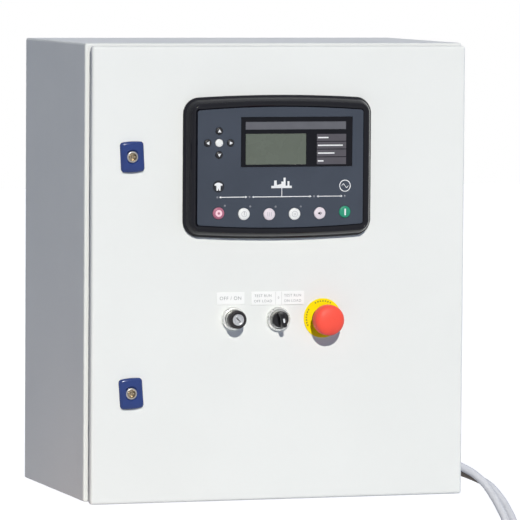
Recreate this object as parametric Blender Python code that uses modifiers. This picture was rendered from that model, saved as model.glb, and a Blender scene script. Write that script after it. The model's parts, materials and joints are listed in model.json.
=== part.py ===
"""Wall-mounted control panel for a generating set, in metres, with +Z up and its front facing -Y.

The origin is the centre of the enclosure's back face, where the wall is. Pieces on the door are made in
a frame of their own: its Z points out of the door, and its X and Y are the door's width and height.
"""

import math

import bmesh
import bpy
from mathutils import Matrix, Vector

MM = 0.001
GAP = 0.3 * MM  # left between two pieces that touch
OVERLAP = 0.6 * MM  # how far joined shapes run into each other
PAST = 5 * MM  # how far a cutter runs past what it cuts

# Enclosure
BODY_WIDTH = 500 * MM
BODY_HEIGHT = 575 * MM
BODY_DEPTH = 282 * MM
SHEET = 1.5 * MM
BODY_FOLD_RADIUS = 2.5 * MM
FLANGE_WIDTH = 14 * MM  # the front flange, from the outer wall to the rain lip
LIP_HEIGHT = 10 * MM
LIP_CORNER_RADIUS = 8 * MM
WALL_HOLE_RADIUS = 4.3 * MM
WALL_HOLE_INSET = 17 * MM
STANDOFF = 22 * MM  # from the back wall to the mounting plate
STANDOFF_RADIUS = 5 * MM
STUD_RADIUS = 3 * MM
STUD_LENGTH = 12 * MM

# Door
DOOR_STANDOFF = 18 * MM  # from the front flange to the door's front face
DOOR_GAP_LEFT = 4.6 * MM  # how far the door's edges stop short of the body's
DOOR_GAP_RIGHT = 1.4 * MM
DOOR_GAP_TOP = 3.6 * MM
DOOR_OVERHANG = 2 * MM
DOOR_RETURN = 9.5 * MM
DOOR_FOLD_RADIUS = 3.5 * MM
GASKET_WIDTH = 8 * MM

# Hinges
HINGE_INSET = 3.5 * MM  # from the body's right wall to the pin's axis
HINGE_FORWARD = 4.5 * MM  # from the front flange to the pin's axis
HINGE_FROM_END = 86.7 * MM  # from the door's top and bottom edges to the hinges' middles
HINGE_HEIGHT = 50 * MM
KNUCKLE_RADIUS = 3.4 * MM
PIN_RADIUS = 1.5 * MM
PIN_HEAD_RADIUS = 2.8 * MM
PIN_HEAD_HEIGHT = 1.6 * MM
LEAF = 2 * MM
LEAF_REACH = 8.5 * MM

# Quarter-turn locks
LOCK_FROM_END = 138.5 * MM  # from the door's top and bottom edges to the locks, before their rise
LOCK_INSET = 50.9 * MM  # from the door's left edge to the locks' axis
LOCK_RISE = 0.8 * MM  # their middle above the door's middle
LOCK_WIDTH = 30.4 * MM
LOCK_HEIGHT = 39.2 * MM
LOCK_PROUD = 5.8 * MM
LOCK_CROWN = 1.6 * MM  # how far the cover's middle stands out from its sides
LOCK_ARCH = 1.4 * MM
LOCK_CORNER_RADIUS = 3.7 * MM
LOCK_WALL = 1.5 * MM  # where the cover's rounded edges start
LOCK_EDGE = 3.4 * MM  # how far in those edges reach
LOCK_SHIFT = (0.6 * MM, -0.1 * MM)  # the cover's middle from the insert's axis
LOCK_TILTS = (3, 4)  # degrees that the upper and the lower cover sit turned
LOCK_DISH_RADIUS = 9.6 * MM
LOCK_DISH_DEPTH = 2 * MM
LOCK_BARREL_RADIUS = 9.8 * MM
LOCK_BARREL_LENGTH = 14 * MM
INSERT_RADIUS = 7.2 * MM
KEYHOLE_RADIUS = 5 * MM
KEYHOLE_DEPTH = 6 * MM
DRIVE = 8 * MM  # the square that turns the cam
CAM_LENGTH = 47 * MM
CAM_WIDTH = 18 * MM
CAM_THICKNESS = 3 * MM
CAM_CLEARANCE = 2 * MM  # between the latched cam and the flange

# Controller module
CONTROLLER_SHIFT = -5.2 * MM  # from the door's middle
CONTROLLER_DROP = 151.6 * MM  # from the door's top edge
BEZEL_WIDTH = 248.4 * MM
BEZEL_HEIGHT = 181.1 * MM
BEZEL_ARCH = 4.2 * MM  # how far the top and bottom edges bow out
BEZEL_CORNER_RADIUS = 19.5 * MM
RIM_SIDE = 14.5 * MM
RIM_TOP = 14.4 * MM
BEZEL_PROUD = 18.5 * MM
SEAT_HEIGHT = 14.9 * MM  # of the plate that the facia lies on
SEAT_THICKNESS = 2.6 * MM
FACIA_THICKNESS = 0.8 * MM
FACIA_CORNER_RADIUS = 3 * MM
CASE_WIDTH = 218 * MM
CASE_HEIGHT = 151 * MM
CASE_DEPTH = 35 * MM  # behind the door's face
CUTOUT_WIDTH = 220 * MM
CUTOUT_HEIGHT = 160 * MM
WINDOW_WIDTH = 147 * MM
WINDOW_HEIGHT = 62.3 * MM
WINDOW_X = 21.2 * MM
WINDOW_Y = 31.9 * MM
LCD_WIDTH = 79.6 * MM
LCD_HEIGHT = 38.6 * MM
LCD_X = -6.4 * MM
LCD_Y = 22.9 * MM
NAV_X = -81.3 * MM
NAV_Y = 31 * MM
NAV_PITCH = 15 * MM
NAV_RADIUS = 4.5 * MM
NAV_CENTRE_RADIUS = 5 * MM
FUNCTION_PITCH = 33.44 * MM
FUNCTION_COUNT = 6
FUNCTION_X = 1.9 * MM  # of the row's middle
FUNCTION_Y = -57.1 * MM  # of its ends
FUNCTION_ARCH = 2 * MM  # how far the row bows down at its middle
FUNCTION_RADIUS = 7.5 * MM
BUTTON_PROUD = 1.5 * MM
BUTTON_TRAVEL = 0.6 * MM
BUTTON_CLEARANCE = 0.35 * MM

# Devices in the row under the controller
DEVICE_PITCH = 60 * MM
DEVICE_RISES = (1.5 * MM, 0, -1 * MM)  # how far each sits above the row's height
DEVICE_SHIFT = 2.9 * MM  # of the middle one, from the controller's middle
DEVICE_DROP = 192.3 * MM  # from the controller's middle
DEVICE_HOLE_RADIUS = 11.25 * MM
THREAD_RADIUS = 10.8 * MM
THREAD_LENGTH = 13 * MM
COLLAR_RADIUS = 14.5 * MM
BLOCK_WIDTH = 29 * MM
BLOCK_HEIGHT = 42 * MM
BLOCK_DEPTH = 50 * MM
KEY_RING_RADIUS = 14.7 * MM
KEY_RING_HEIGHT = 4.5 * MM
KEY_COLLAR_RADIUS = 11.5 * MM
KEY_COLLAR_HEIGHT = 23 * MM
KEY_BARREL_RADIUS = 7.4 * MM
KEY_SLOT_TILT = 40  # degrees
SELECTOR_RING_RADIUS = 15.2 * MM
SELECTOR_RING_HEIGHT = 5 * MM
KNOB_RADIUS = 11.3 * MM
KNOB_FOOT_RADIUS = 9.8 * MM
KNOB_DISC_HEIGHT = 12 * MM
GRIP_HEIGHT = 25 * MM
GRIP_WIDTH = 7.5 * MM
GRIP_LENGTH = 19.6 * MM
GRIP_TILT = 12  # degrees, its top turned to the left
ESTOP_RING_RADIUS = 25 * MM
ESTOP_RING_SHIFT = (-1 * MM, 1.1 * MM)  # its rim's middle from the button's axis
ESTOP_RING_THICKNESS = 1 * MM
ESTOP_COLLAR_RADIUS = 15 * MM
ESTOP_COLLAR_HEIGHT = 8 * MM
ESTOP_HEAD_RADIUS = 19.3 * MM
ESTOP_HEAD_BASE = 14.5 * MM
ESTOP_HEAD_RIM = 25 * MM  # where its dome starts
ESTOP_HEAD_TOP = 34 * MM
ESTOP_STEM_RADIUS = 7 * MM
ESTOP_TRAVEL = 4 * MM

# Label plates
PLATE_THICKNESS = 0.6 * MM
PLATE_CORNER_RADIUS = 0.8 * MM
KEY_LABEL = (-3.2 * MM, 25.3 * MM, 36.4 * MM, 15.4 * MM)  # x, z from its device, width, height
SELECTOR_LABEL = (-0.7 * MM, 26.3 * MM, 69.8 * MM, 16.8 * MM)
SELECTOR_LABEL_CUTS = (-2.8 * MM, 5.1 * MM)  # the grooves, from the label's middle
GROOVE_WIDTH = 0.8 * MM

# Inside
PLATE_MARGIN = 30 * MM  # from the mounting plate's edges to the body's outside
PLATE_SHEET = 2 * MM
PLATE_HOLE_INSET = 20 * MM
RAIL_HEIGHT = 35 * MM
RAIL_DEPTH = 7.5 * MM
RAIL_BRIM = 5 * MM
RAIL_SHEET = 1 * MM
RAIL_START = 60 * MM  # from the plate's left edge
RAIL_END = 10 * MM  # from its right edge
DUCT_WIDTH = 40 * MM
DUCT_DEPTH = 60 * MM
DUCT_WALL = 2 * MM
DUCT_PITCH = 36 * MM
DUCT_SLOT = 9 * MM
DUCT_EDGE = 5 * MM  # from the plate's left edge to the side duct
DUCT_SHORT = 27.5 * MM  # from the plate's top and bottom edges to the side duct's ends
CONTACTOR_WIDTH = 90 * MM
CONTACTOR_DEPTH = 115 * MM
CONTACTOR_HEIGHT = 130 * MM
CONTACTOR_PITCH = 120 * MM
CONTACTOR_PLACE = 55 * MM  # along the rail, as the next four are
BREAKER_PLACE = 20 * MM
CHARGER_PLACE = 85 * MM
RELAY_PLACE = 175 * MM
TERMINAL_PLACE = 170 * MM
TERMINAL_COUNT = 24
TERMINAL_PITCH = 8 * MM
TERMINAL_DEPTH = 44 * MM
TERMINAL_HEIGHT = 46 * MM
BREAKER_WIDTH = 35.2 * MM
BREAKER_HEIGHT = 84 * MM
BREAKER_DEPTH = 66 * MM
BREAKER_BASE_DEPTH = 44 * MM
BREAKER_NOSE_HEIGHT = 44 * MM
BREAKER_TILT = 35  # degrees, the toggle's angle above the level when it is on
TOGGLE_RADIUS = 6 * MM
TOGGLE_REACH = 17 * MM
TOGGLE_THICKNESS = 3.6 * MM
CHARGER_WIDTH = 66 * MM
CHARGER_DEPTH = 100 * MM
CHARGER_HEIGHT = 112 * MM
RELAY_WIDTH = 27 * MM
RELAY_HEIGHT = 76 * MM
RELAY_DEPTH = 62 * MM
RELAY_SOCKET_DEPTH = 28 * MM
RELAY_CUBE_WIDTH = 22 * MM
RELAY_CUBE_HEIGHT = 30 * MM

# Cables
GLAND_FRONT = (-161.5 * MM, 22.5 * MM)  # its y, and its height over the body's bottom
GLAND_REAR = (-134.5 * MM, 15.5 * MM)
GLAND_THREAD_RADIUS = 9.8 * MM
GLAND_HEX_RADIUS = 13.5 * MM
GLAND_HEX_LENGTH = 6 * MM
GLAND_DOME_RADIUS = 11.5 * MM
GLAND_LENGTH = 27 * MM
GLAND_MOUTH_DEPTH = 8 * MM
CABLE_RADIUS = 5.25 * MM
CABLE_STEP = 17 * MM

# Worked out from the sizes above
BODY_FRONT = -BODY_DEPTH
FRONT = BODY_FRONT - DOOR_STANDOFF
DOOR_LEFT = -BODY_WIDTH / 2 + DOOR_GAP_LEFT
DOOR_RIGHT = BODY_WIDTH / 2 - DOOR_GAP_RIGHT
DOOR_TOP = BODY_HEIGHT / 2 - DOOR_GAP_TOP
DOOR_BOTTOM = -BODY_HEIGHT / 2 - DOOR_OVERHANG
DOOR_X = (DOOR_LEFT + DOOR_RIGHT) / 2
DOOR_Z = (DOOR_TOP + DOOR_BOTTOM) / 2
LIP_WIDTH = BODY_WIDTH - 2 * FLANGE_WIDTH
LIP_TALL = BODY_HEIGHT - 2 * FLANGE_WIDTH
LIP_FRONT = BODY_FRONT - LIP_HEIGHT
HINGE_X = BODY_WIDTH / 2 - HINGE_INSET
HINGE_Y = BODY_FRONT - HINGE_FORWARD
LOCK_X = DOOR_LEFT + LOCK_INSET
LOCK_Z = DOOR_Z + LOCK_RISE
LOCK_SPREAD = DOOR_TOP - DOOR_BOTTOM - 2 * LOCK_FROM_END
HINGE_SPREAD = DOOR_TOP - DOOR_BOTTOM - 2 * HINGE_FROM_END
CONTROLLER_X = DOOR_X + CONTROLLER_SHIFT
CONTROLLER_Z = DOOR_TOP - CONTROLLER_DROP
DEVICE_X = CONTROLLER_X + DEVICE_SHIFT
DEVICE_Z = CONTROLLER_Z - DEVICE_DROP
FLANGE_BACK = BODY_FRONT + SHEET
PLATE_WIDTH = BODY_WIDTH - 2 * PLATE_MARGIN
PLATE_HEIGHT = BODY_HEIGHT - 2 * PLATE_MARGIN
PLATE_FRONT = -(SHEET + STANDOFF + GAP + PLATE_SHEET)
RAIL_LEFT = -PLATE_WIDTH / 2 + RAIL_START
RAIL_LENGTH = PLATE_WIDTH - RAIL_START - RAIL_END
RAIL_X = RAIL_LEFT + RAIL_LENGTH / 2
# The four rows of devices are spread evenly over the plate's height.
ROW_SPACE = (PLATE_HEIGHT - CHARGER_HEIGHT - DUCT_WIDTH - CONTACTOR_HEIGHT - TERMINAL_HEIGHT) / 5
UPPER_RAIL_Z = PLATE_HEIGHT / 2 - ROW_SPACE - CHARGER_HEIGHT / 2
MIDDLE_DUCT_Z = UPPER_RAIL_Z - CHARGER_HEIGHT / 2 - ROW_SPACE - DUCT_WIDTH / 2
CONTACTOR_Z = MIDDLE_DUCT_Z - DUCT_WIDTH / 2 - ROW_SPACE - CONTACTOR_HEIGHT / 2
LOWER_RAIL_Z = CONTACTOR_Z - CONTACTOR_HEIGHT / 2 - ROW_SPACE - TERMINAL_HEIGHT / 2
GLANDS = [(y, -BODY_HEIGHT / 2 + rise) for y, rise in (GLAND_FRONT, GLAND_REAR)]
RAIL_FRONT = PLATE_FRONT - GAP - RAIL_DEPTH
FACIA_BASE = SEAT_HEIGHT + GAP
FACIA_TOP = FACIA_BASE + FACIA_THICKNESS
SEAT_BACK = SEAT_HEIGHT - SEAT_THICKNESS


def clear_scene():
    for old in list(bpy.data.objects):
        bpy.data.objects.remove(old, do_unlink=True)


def new_collection(name):
    made = bpy.data.collections.new(name)
    bpy.context.scene.collection.children.link(made)
    return made


clear_scene()
PARTS = new_collection("genset_control_panel")
CUTTERS = new_collection("cutters")


def material(name, colour, roughness, metallic=0.0):
    made = bpy.data.materials.new(name)
    made.use_nodes = True
    shader = made.node_tree.nodes["Principled BSDF"]
    shader.inputs["Base Color"].default_value = (*colour, 1)
    shader.inputs["Roughness"].default_value = roughness
    shader.inputs["Metallic"].default_value = metallic
    return made


PAINT = material("light_grey_paint", (0.80, 0.82, 0.80), 0.4)
GALVANISED = material("galvanised_steel", (0.62, 0.64, 0.66), 0.4, 0.9)
STEEL = material("bright_steel", (0.70, 0.70, 0.70), 0.25, 1.0)
CHROME = material("chrome", (0.82, 0.82, 0.82), 0.12, 1.0)
FOAM = material("black_foam", (0.03, 0.03, 0.03), 0.9)
BLUE = material("blue_plastic", (0.03, 0.06, 0.33), 0.3)
BLACK = material("black_plastic", (0.015, 0.016, 0.02), 0.35)
SLATE = material("slate_facia", (0.07, 0.085, 0.11), 0.5)
GLASS_BLACK = material("window_black", (0.01, 0.01, 0.01), 0.15)
LCD = material("lcd_green_grey", (0.16, 0.19, 0.15), 0.3)
WHITE = material("white_plastic", (0.82, 0.82, 0.80), 0.4)
RED = material("red_plastic", (0.85, 0.06, 0.04), 0.35)
GREEN = material("green_plastic", (0.0, 0.22, 0.10), 0.4)
PINK = material("pale_pink_plastic", (0.80, 0.62, 0.64), 0.4)
YELLOW = material("yellow_label", (0.90, 0.72, 0.02), 0.5)
GREY = material("grey_plastic", (0.30, 0.31, 0.32), 0.5)
CREAM = material("device_ring", (0.72, 0.72, 0.70), 0.3)
CABLE_GREY = material("cable_grey", (0.52, 0.54, 0.56), 0.5)


def add(name, mesh, paint=None, at=(0, 0, 0), turn=(0, 0, 0), parent=None):
    """A new object. One without paint is a cutter or a shape that is joined to another."""
    made = bpy.data.objects.new(name, mesh)
    made.location = at
    made.rotation_euler = turn
    made.parent = parent
    if paint:
        made.data.materials.append(paint)
        PARTS.objects.link(made)
    else:
        CUTTERS.objects.link(made)
        made.hide_render = True
        made.display_type = "WIRE"
    return made


def empty(name, at, turn=(0, 0, 0), parent=None):
    made = bpy.data.objects.new(name, None)
    made.location = at
    made.rotation_euler = turn
    made.parent = parent
    PARTS.objects.link(made)
    return made


def on_door(name, x, z):
    """A frame on the door's front face, with its own Z pointing out of the door."""
    return empty(name, (x, FRONT, z), (math.pi / 2, 0, 0))


def cut(target, *cutters):
    for cutter in cutters:
        step = target.modifiers.new("cut_" + cutter.name, "BOOLEAN")
        step.operation = "DIFFERENCE"
        step.object = cutter
    return target


def join(target, *shapes):
    for shape in shapes:
        step = target.modifiers.new("join_" + shape.name, "BOOLEAN")
        step.operation = "UNION"
        step.object = shape
    return target


def keep_inside(target, shape):
    step = target.modifiers.new("within_" + shape.name, "BOOLEAN")
    step.operation = "INTERSECT"
    step.object = shape
    return target


def bevel(target, width, segments=2, angle=30):
    step = target.modifiers.new("rounded", "BEVEL")
    step.width = width
    step.segments = segments
    step.limit_method = "ANGLE"
    step.angle_limit = math.radians(angle)
    return target


def finished(name, form):
    """The bmesh as a mesh, with its faces pointing out."""
    bmesh.ops.recalc_face_normals(form, faces=form.faces)
    mesh = bpy.data.meshes.new(name)
    form.to_mesh(mesh)
    form.free()
    return mesh


def boxes(name, size, centres):
    """One mesh of equal boxes."""
    form = bmesh.new()
    for centre in centres:
        matrix = Matrix.Translation(centre) @ Matrix.Diagonal((*size, 1))
        bmesh.ops.create_cube(form, size=1, matrix=matrix)
    return finished(name, form)


def box(name, size, at, paint=None, parent=None):
    return add(name, boxes(name, size, [(0, 0, 0)]), paint, at, parent=parent)


def block(name, low, high, paint=None, parent=None):
    """A box from its lowest to its highest corner."""
    size = [b - a for a, b in zip(low, high)]
    middle = [(a + b) / 2 for a, b in zip(low, high)]
    return box(name, size, middle, paint, parent)


def rod(name, radius, low, high, paint=None, parent=None, at=(0, 0, 0), turn=(0, 0, 0), sides=20):
    """A cylinder along its own Z, from low to high."""
    form = bmesh.new()
    matrix = Matrix.Translation((0, 0, (low + high) / 2))
    bmesh.ops.create_cone(
        form, cap_ends=True, segments=sides, radius1=radius, radius2=radius, depth=high - low, matrix=matrix
    )
    made = add(name, finished(name, form), paint, at, turn, parent)
    smooth(made)
    return made


def smooth(target, angle=35):
    target.data.shade_smooth()
    target.data.set_sharp_from_angle(angle=math.radians(angle))


def turned(name, profile, paint=None, parent=None, at=(0, 0, 0), turn=(0, 0, 0), steps=20, closed=False):
    """A profile of (radius, height) turned about its own Z. It runs down the outer side, top to bottom."""
    mesh = bpy.data.meshes.new(name)
    last = len(profile) - 1
    edges = [(i, i + 1) for i in range(last)] + ([(last, 0)] if closed else [])
    mesh.from_pydata([(r, 0, h) for r, h in profile], edges, [])
    made = add(name, mesh, paint, at, turn, parent)
    step = made.modifiers.new("turned", "SCREW")
    step.axis = "Z"
    step.steps = steps
    step.render_steps = steps
    step.use_merge_vertices = True
    step.merge_threshold = 0.00001
    step.use_smooth_shade = True
    return made


def prism(name, outlines, low, high, paint=None, parent=None, at=(0, 0, 0), turn=(0, 0, 0)):
    """Flat outlines, the first one solid and the others holes, extruded along their own Z."""
    curve = bpy.data.curves.new(name, "CURVE")
    curve.dimensions = "2D"
    curve.fill_mode = "BOTH"
    curve.extrude = (high - low) / 2
    for outline in outlines:
        spline = curve.splines.new("POLY")
        spline.points.add(len(outline) - 1)
        spline.use_cyclic_u = True
        for point, (x, y) in zip(spline.points, outline):
            point.co = (x, y, 0, 1)
    mesh = curve_mesh(name, curve)
    mesh.transform(Matrix.Translation((0, 0, (low + high) / 2)))
    return add(name, mesh, paint, at, turn, parent)


def curve_mesh(name, curve):
    """The closed mesh of a curve, with its caps welded."""
    holder = bpy.data.objects.new(name + "_curve", curve)
    bpy.context.scene.collection.objects.link(holder)
    graph = bpy.context.evaluated_depsgraph_get()
    form = bmesh.new()
    mesh = bpy.data.meshes.new_from_object(holder.evaluated_get(graph))
    form.from_mesh(mesh)
    bpy.data.meshes.remove(mesh)
    bpy.data.objects.remove(holder)
    bmesh.ops.remove_doubles(form, verts=form.verts, dist=0.00001)
    return finished(name, form)


def arched_outline(width, height, radius, arch=0.0, corner_steps=5, arch_steps=1):
    """A rounded rectangle whose top and bottom edges bow out by arch at their middle."""
    half_w = width / 2
    half_h = height / 2 - arch
    points = []
    for corner in range(4):
        sign_x = (1, -1, -1, 1)[corner]
        sign_y = (1, 1, -1, -1)[corner]
        centre = Vector((sign_x * (half_w - radius), sign_y * (half_h - radius)))
        for i in range(corner_steps + 1):
            angle = math.pi / 2 * (corner + i / corner_steps)
            points.append(centre + radius * Vector((math.cos(angle), math.sin(angle))))
        if corner in (0, 2):
            run = 2 * (half_w - radius)
            for i in range(1, arch_steps):
                points.append(points[-1] - Vector((sign_x * run / arch_steps, 0)))
    bow = [arch * (1 - (p.x / half_w) ** 2) for p in points]
    return [(p.x, p.y + math.copysign(b, p.y)) for p, b in zip(points, bow)]


def circle(radius, x=0.0, y=0.0, sides=24):
    turns = [2 * math.pi * i / sides for i in range(sides)]
    return [(x + radius * math.cos(a), y + radius * math.sin(a)) for a in turns]


def loft(name, sections, paint=None, parent=None, at=(0, 0, 0)):
    """A closed shell through outlines of as many points each, given as (outline, height)."""
    form = bmesh.new()
    loops = [[form.verts.new((x, y, h)) for x, y in outline] for outline, h in sections]
    for below, above in zip(loops, loops[1:]):
        for i, first in enumerate(below):
            j = (i + 1) % len(below)
            form.faces.new((first, below[j], above[j], above[i]))
    form.faces.new(loops[0])
    form.faces.new(loops[-1])
    return add(name, finished(name, form), paint, at, parent=parent)


def enclosure_body():
    """The folded shell, its flange and rain lip, and the studs welded to its back wall."""
    body = box("enclosure_body", (BODY_WIDTH, BODY_DEPTH, BODY_HEIGHT), (0, BODY_FRONT / 2, 0), PAINT)
    bevel(body, BODY_FOLD_RADIUS)
    facing = (math.pi / 2, 0, 0)
    outer = arched_outline(LIP_WIDTH, LIP_TALL, LIP_CORNER_RADIUS, corner_steps=4)
    inner = arched_outline(
        LIP_WIDTH - 2 * SHEET, LIP_TALL - 2 * SHEET, LIP_CORNER_RADIUS - SHEET, corner_steps=4
    )
    at_front = (0, BODY_FRONT, 0)
    join(body, prism("lip_form", [outer], -OVERLAP, LIP_HEIGHT, at=at_front, turn=facing))
    low = (-BODY_WIDTH / 2 + SHEET, FLANGE_BACK, -BODY_HEIGHT / 2 + SHEET)
    high = (BODY_WIDTH / 2 - SHEET, -SHEET, BODY_HEIGHT / 2 - SHEET)
    cut(body, block("body_cavity", low, high))
    cut(body, prism("front_opening", [inner], -PAST, LIP_HEIGHT + PAST, at=at_front, turn=facing))
    for i, (x, z) in enumerate(plate_fixings()):
        stud = turned(
            f"stud_{i}",
            [
                (0, STANDOFF + STUD_LENGTH),
                (STUD_RADIUS, STANDOFF + STUD_LENGTH),
                (STUD_RADIUS, STANDOFF),
                (STANDOFF_RADIUS, STANDOFF),
                (STANDOFF_RADIUS, -OVERLAP),
                (0, -OVERLAP),
            ],
            at=(x, -SHEET, z),
            turn=facing,
            steps=12,
        )
        join(body, stud)
    far_x = BODY_WIDTH / 2 - WALL_HOLE_INSET
    far_z = BODY_HEIGHT / 2 - WALL_HOLE_INSET
    for i, (x, z) in enumerate([(-far_x, -far_z), (far_x, -far_z), (far_x, far_z), (-far_x, far_z)]):
        hole = rod(f"wall_hole_{i}", WALL_HOLE_RADIUS, -PAST, PAST, at=(x, 0, z), turn=facing, sides=16)
        cut(body, hole)
    for i, (y, z) in enumerate(GLANDS):
        hole = rod(
            f"gland_hole_{i}",
            GLAND_THREAD_RADIUS + GAP,
            -PAST,
            PAST,
            at=(BODY_WIDTH / 2, y, z),
            turn=(0, math.pi / 2, 0),
            sides=20,
        )
        cut(body, hole)
    return body


def plate_fixings():
    x = PLATE_WIDTH / 2 - PLATE_HOLE_INSET
    z = PLATE_HEIGHT / 2 - PLATE_HOLE_INSET
    return [(-x, -z), (x, -z), (x, z), (-x, z)]


def door_shell(name, inset, low_y, high_y, radius, paint=None):
    """A block of the door's outline, inset all round, with its front edges and corners rounded."""
    size = (DOOR_RIGHT - DOOR_LEFT - 2 * inset, high_y - low_y, DOOR_TOP - DOOR_BOTTOM - 2 * inset)
    mesh = boxes(name, size, [(0, 0, 0)])
    form = bmesh.new()
    form.from_mesh(mesh)
    front = [e for e in form.edges if min(v.co.y for v in e.verts) < 0]
    bmesh.ops.bevel(form, geom=front, offset=radius, segments=3, profile=0.5, affect="EDGES")
    form.to_mesh(mesh)
    form.free()
    return add(name, mesh, paint, (DOOR_X, (low_y + high_y) / 2, DOOR_Z))


def door():
    """A folded pan with the cut-outs for what it carries."""
    made = door_shell("door", 0, FRONT, FRONT + DOOR_RETURN, DOOR_FOLD_RADIUS, PAINT)
    inner_radius = DOOR_FOLD_RADIUS - SHEET
    cut(made, door_shell("door_hollow", SHEET, FRONT + SHEET, FRONT + DOOR_RETURN + PAST, inner_radius))
    opening = arched_outline(CUTOUT_WIDTH, CUTOUT_HEIGHT, 3 * MM, corner_steps=2)
    cut(made, prism("controller_cutout", [opening], -PAST, PAST, parent=CONTROLLER))
    for i, frame in enumerate(DEVICES):
        cut(made, rod(f"device_hole_{i}", DEVICE_HOLE_RADIUS, -PAST, PAST, parent=frame))
    for i, frame in enumerate(LOCKS):
        cut(made, rod(f"lock_hole_{i}", LOCK_BARREL_RADIUS + GAP, -PAST, PAST, parent=frame, sides=20))
    return made


def door_gasket():
    """The foam strip between the door and the front edge of the rain lip."""
    middle_w = LIP_WIDTH - SHEET
    middle_h = LIP_TALL - SHEET
    radius = LIP_CORNER_RADIUS - SHEET / 2
    sections = [
        arched_outline(middle_w + side * GASKET_WIDTH, middle_h + side * GASKET_WIDTH, radius + side * 3 * MM)
        for side in (1, -1)
    ]
    depth = LIP_FRONT - FRONT - SHEET
    return prism(
        "door_gasket",
        sections,
        GAP,
        depth - GAP,
        FOAM,
        at=(0, LIP_FRONT, 0),
        turn=(math.pi / 2, 0, 0),
    )


def hinge(side, z):
    """One concealed hinge: the body's leaf with two knuckles, the door's with one, and their pin."""
    frame = empty(f"hinge_{side}", (HINGE_X, HINGE_Y, z))
    reach = HINGE_HEIGHT / 2
    middle = HINGE_HEIGHT / 6
    bore = PIN_RADIUS + GAP
    back = HINGE_FORWARD - GAP
    clear = KNUCKLE_RADIUS + GAP

    leaf = block(
        f"hinge_leaf_body_{side}",
        (-LEAF_REACH, back - LEAF, -reach),
        (-clear, back, reach),
        STEEL,
        frame,
    )
    for end, low, high in (("low", -reach, -middle - GAP), ("high", middle + GAP, reach)):
        join(leaf, block(f"tab_{side}_{end}", (-LEAF_REACH, back - LEAF, low), (0, back, high), None, frame))
        join(leaf, rod(f"knuckle_{side}_{end}", KNUCKLE_RADIUS, low, high, parent=frame, sides=16))
    cut(leaf, rod(f"bore_body_{side}", bore, -reach - PAST, reach + PAST, parent=frame, sides=12))

    fold = DOOR_RIGHT - SHEET - GAP - HINGE_X
    face = FRONT + SHEET + GAP - HINGE_Y
    corner = DOOR_FOLD_RADIUS - SHEET
    foot = fold - 3.4 * LEAF
    leg_end = -clear - LEAF / 4
    angle = [(foot, face), (fold - corner, face), (fold, face + corner), (fold, leg_end)]
    angle += [(fold - LEAF, leg_end), (fold - LEAF, face + LEAF), (foot, face + LEAF)]
    door_leaf = prism(f"hinge_leaf_door_{side}", [angle], -reach, reach, STEEL, frame)
    join(
        door_leaf,
        block(f"arm_{side}", (fold - LEAF, face + LEAF, -middle), (fold, -bore, middle), None, frame),
        rod(f"knuckle_{side}_middle", KNUCKLE_RADIUS, -middle, middle, parent=frame, sides=16),
    )
    cut(door_leaf, rod(f"bore_door_{side}", bore, -middle - PAST, middle + PAST, parent=frame, sides=12))

    pin_profile = [
        (0, reach + GAP + PIN_HEAD_HEIGHT),
        (PIN_HEAD_RADIUS, reach + GAP + PIN_HEAD_HEIGHT),
        (PIN_HEAD_RADIUS, reach + GAP),
        (PIN_RADIUS, reach + GAP),
        (PIN_RADIUS, -reach - LEAF),
        (0, -reach - LEAF),
    ]
    turned(f"hinge_pin_{side}", pin_profile, STEEL, frame, steps=12)


def lock_outline(inset):
    """The cover's outline, drawn in by an inset."""
    width = LOCK_WIDTH - 2 * inset
    height = LOCK_HEIGHT - 2 * inset
    outline = arched_outline(width, height, LOCK_CORNER_RADIUS - inset, LOCK_ARCH, 3, 4)
    return [(x + LOCK_SHIFT[0], y + LOCK_SHIFT[1]) for x, y in outline]


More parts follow.
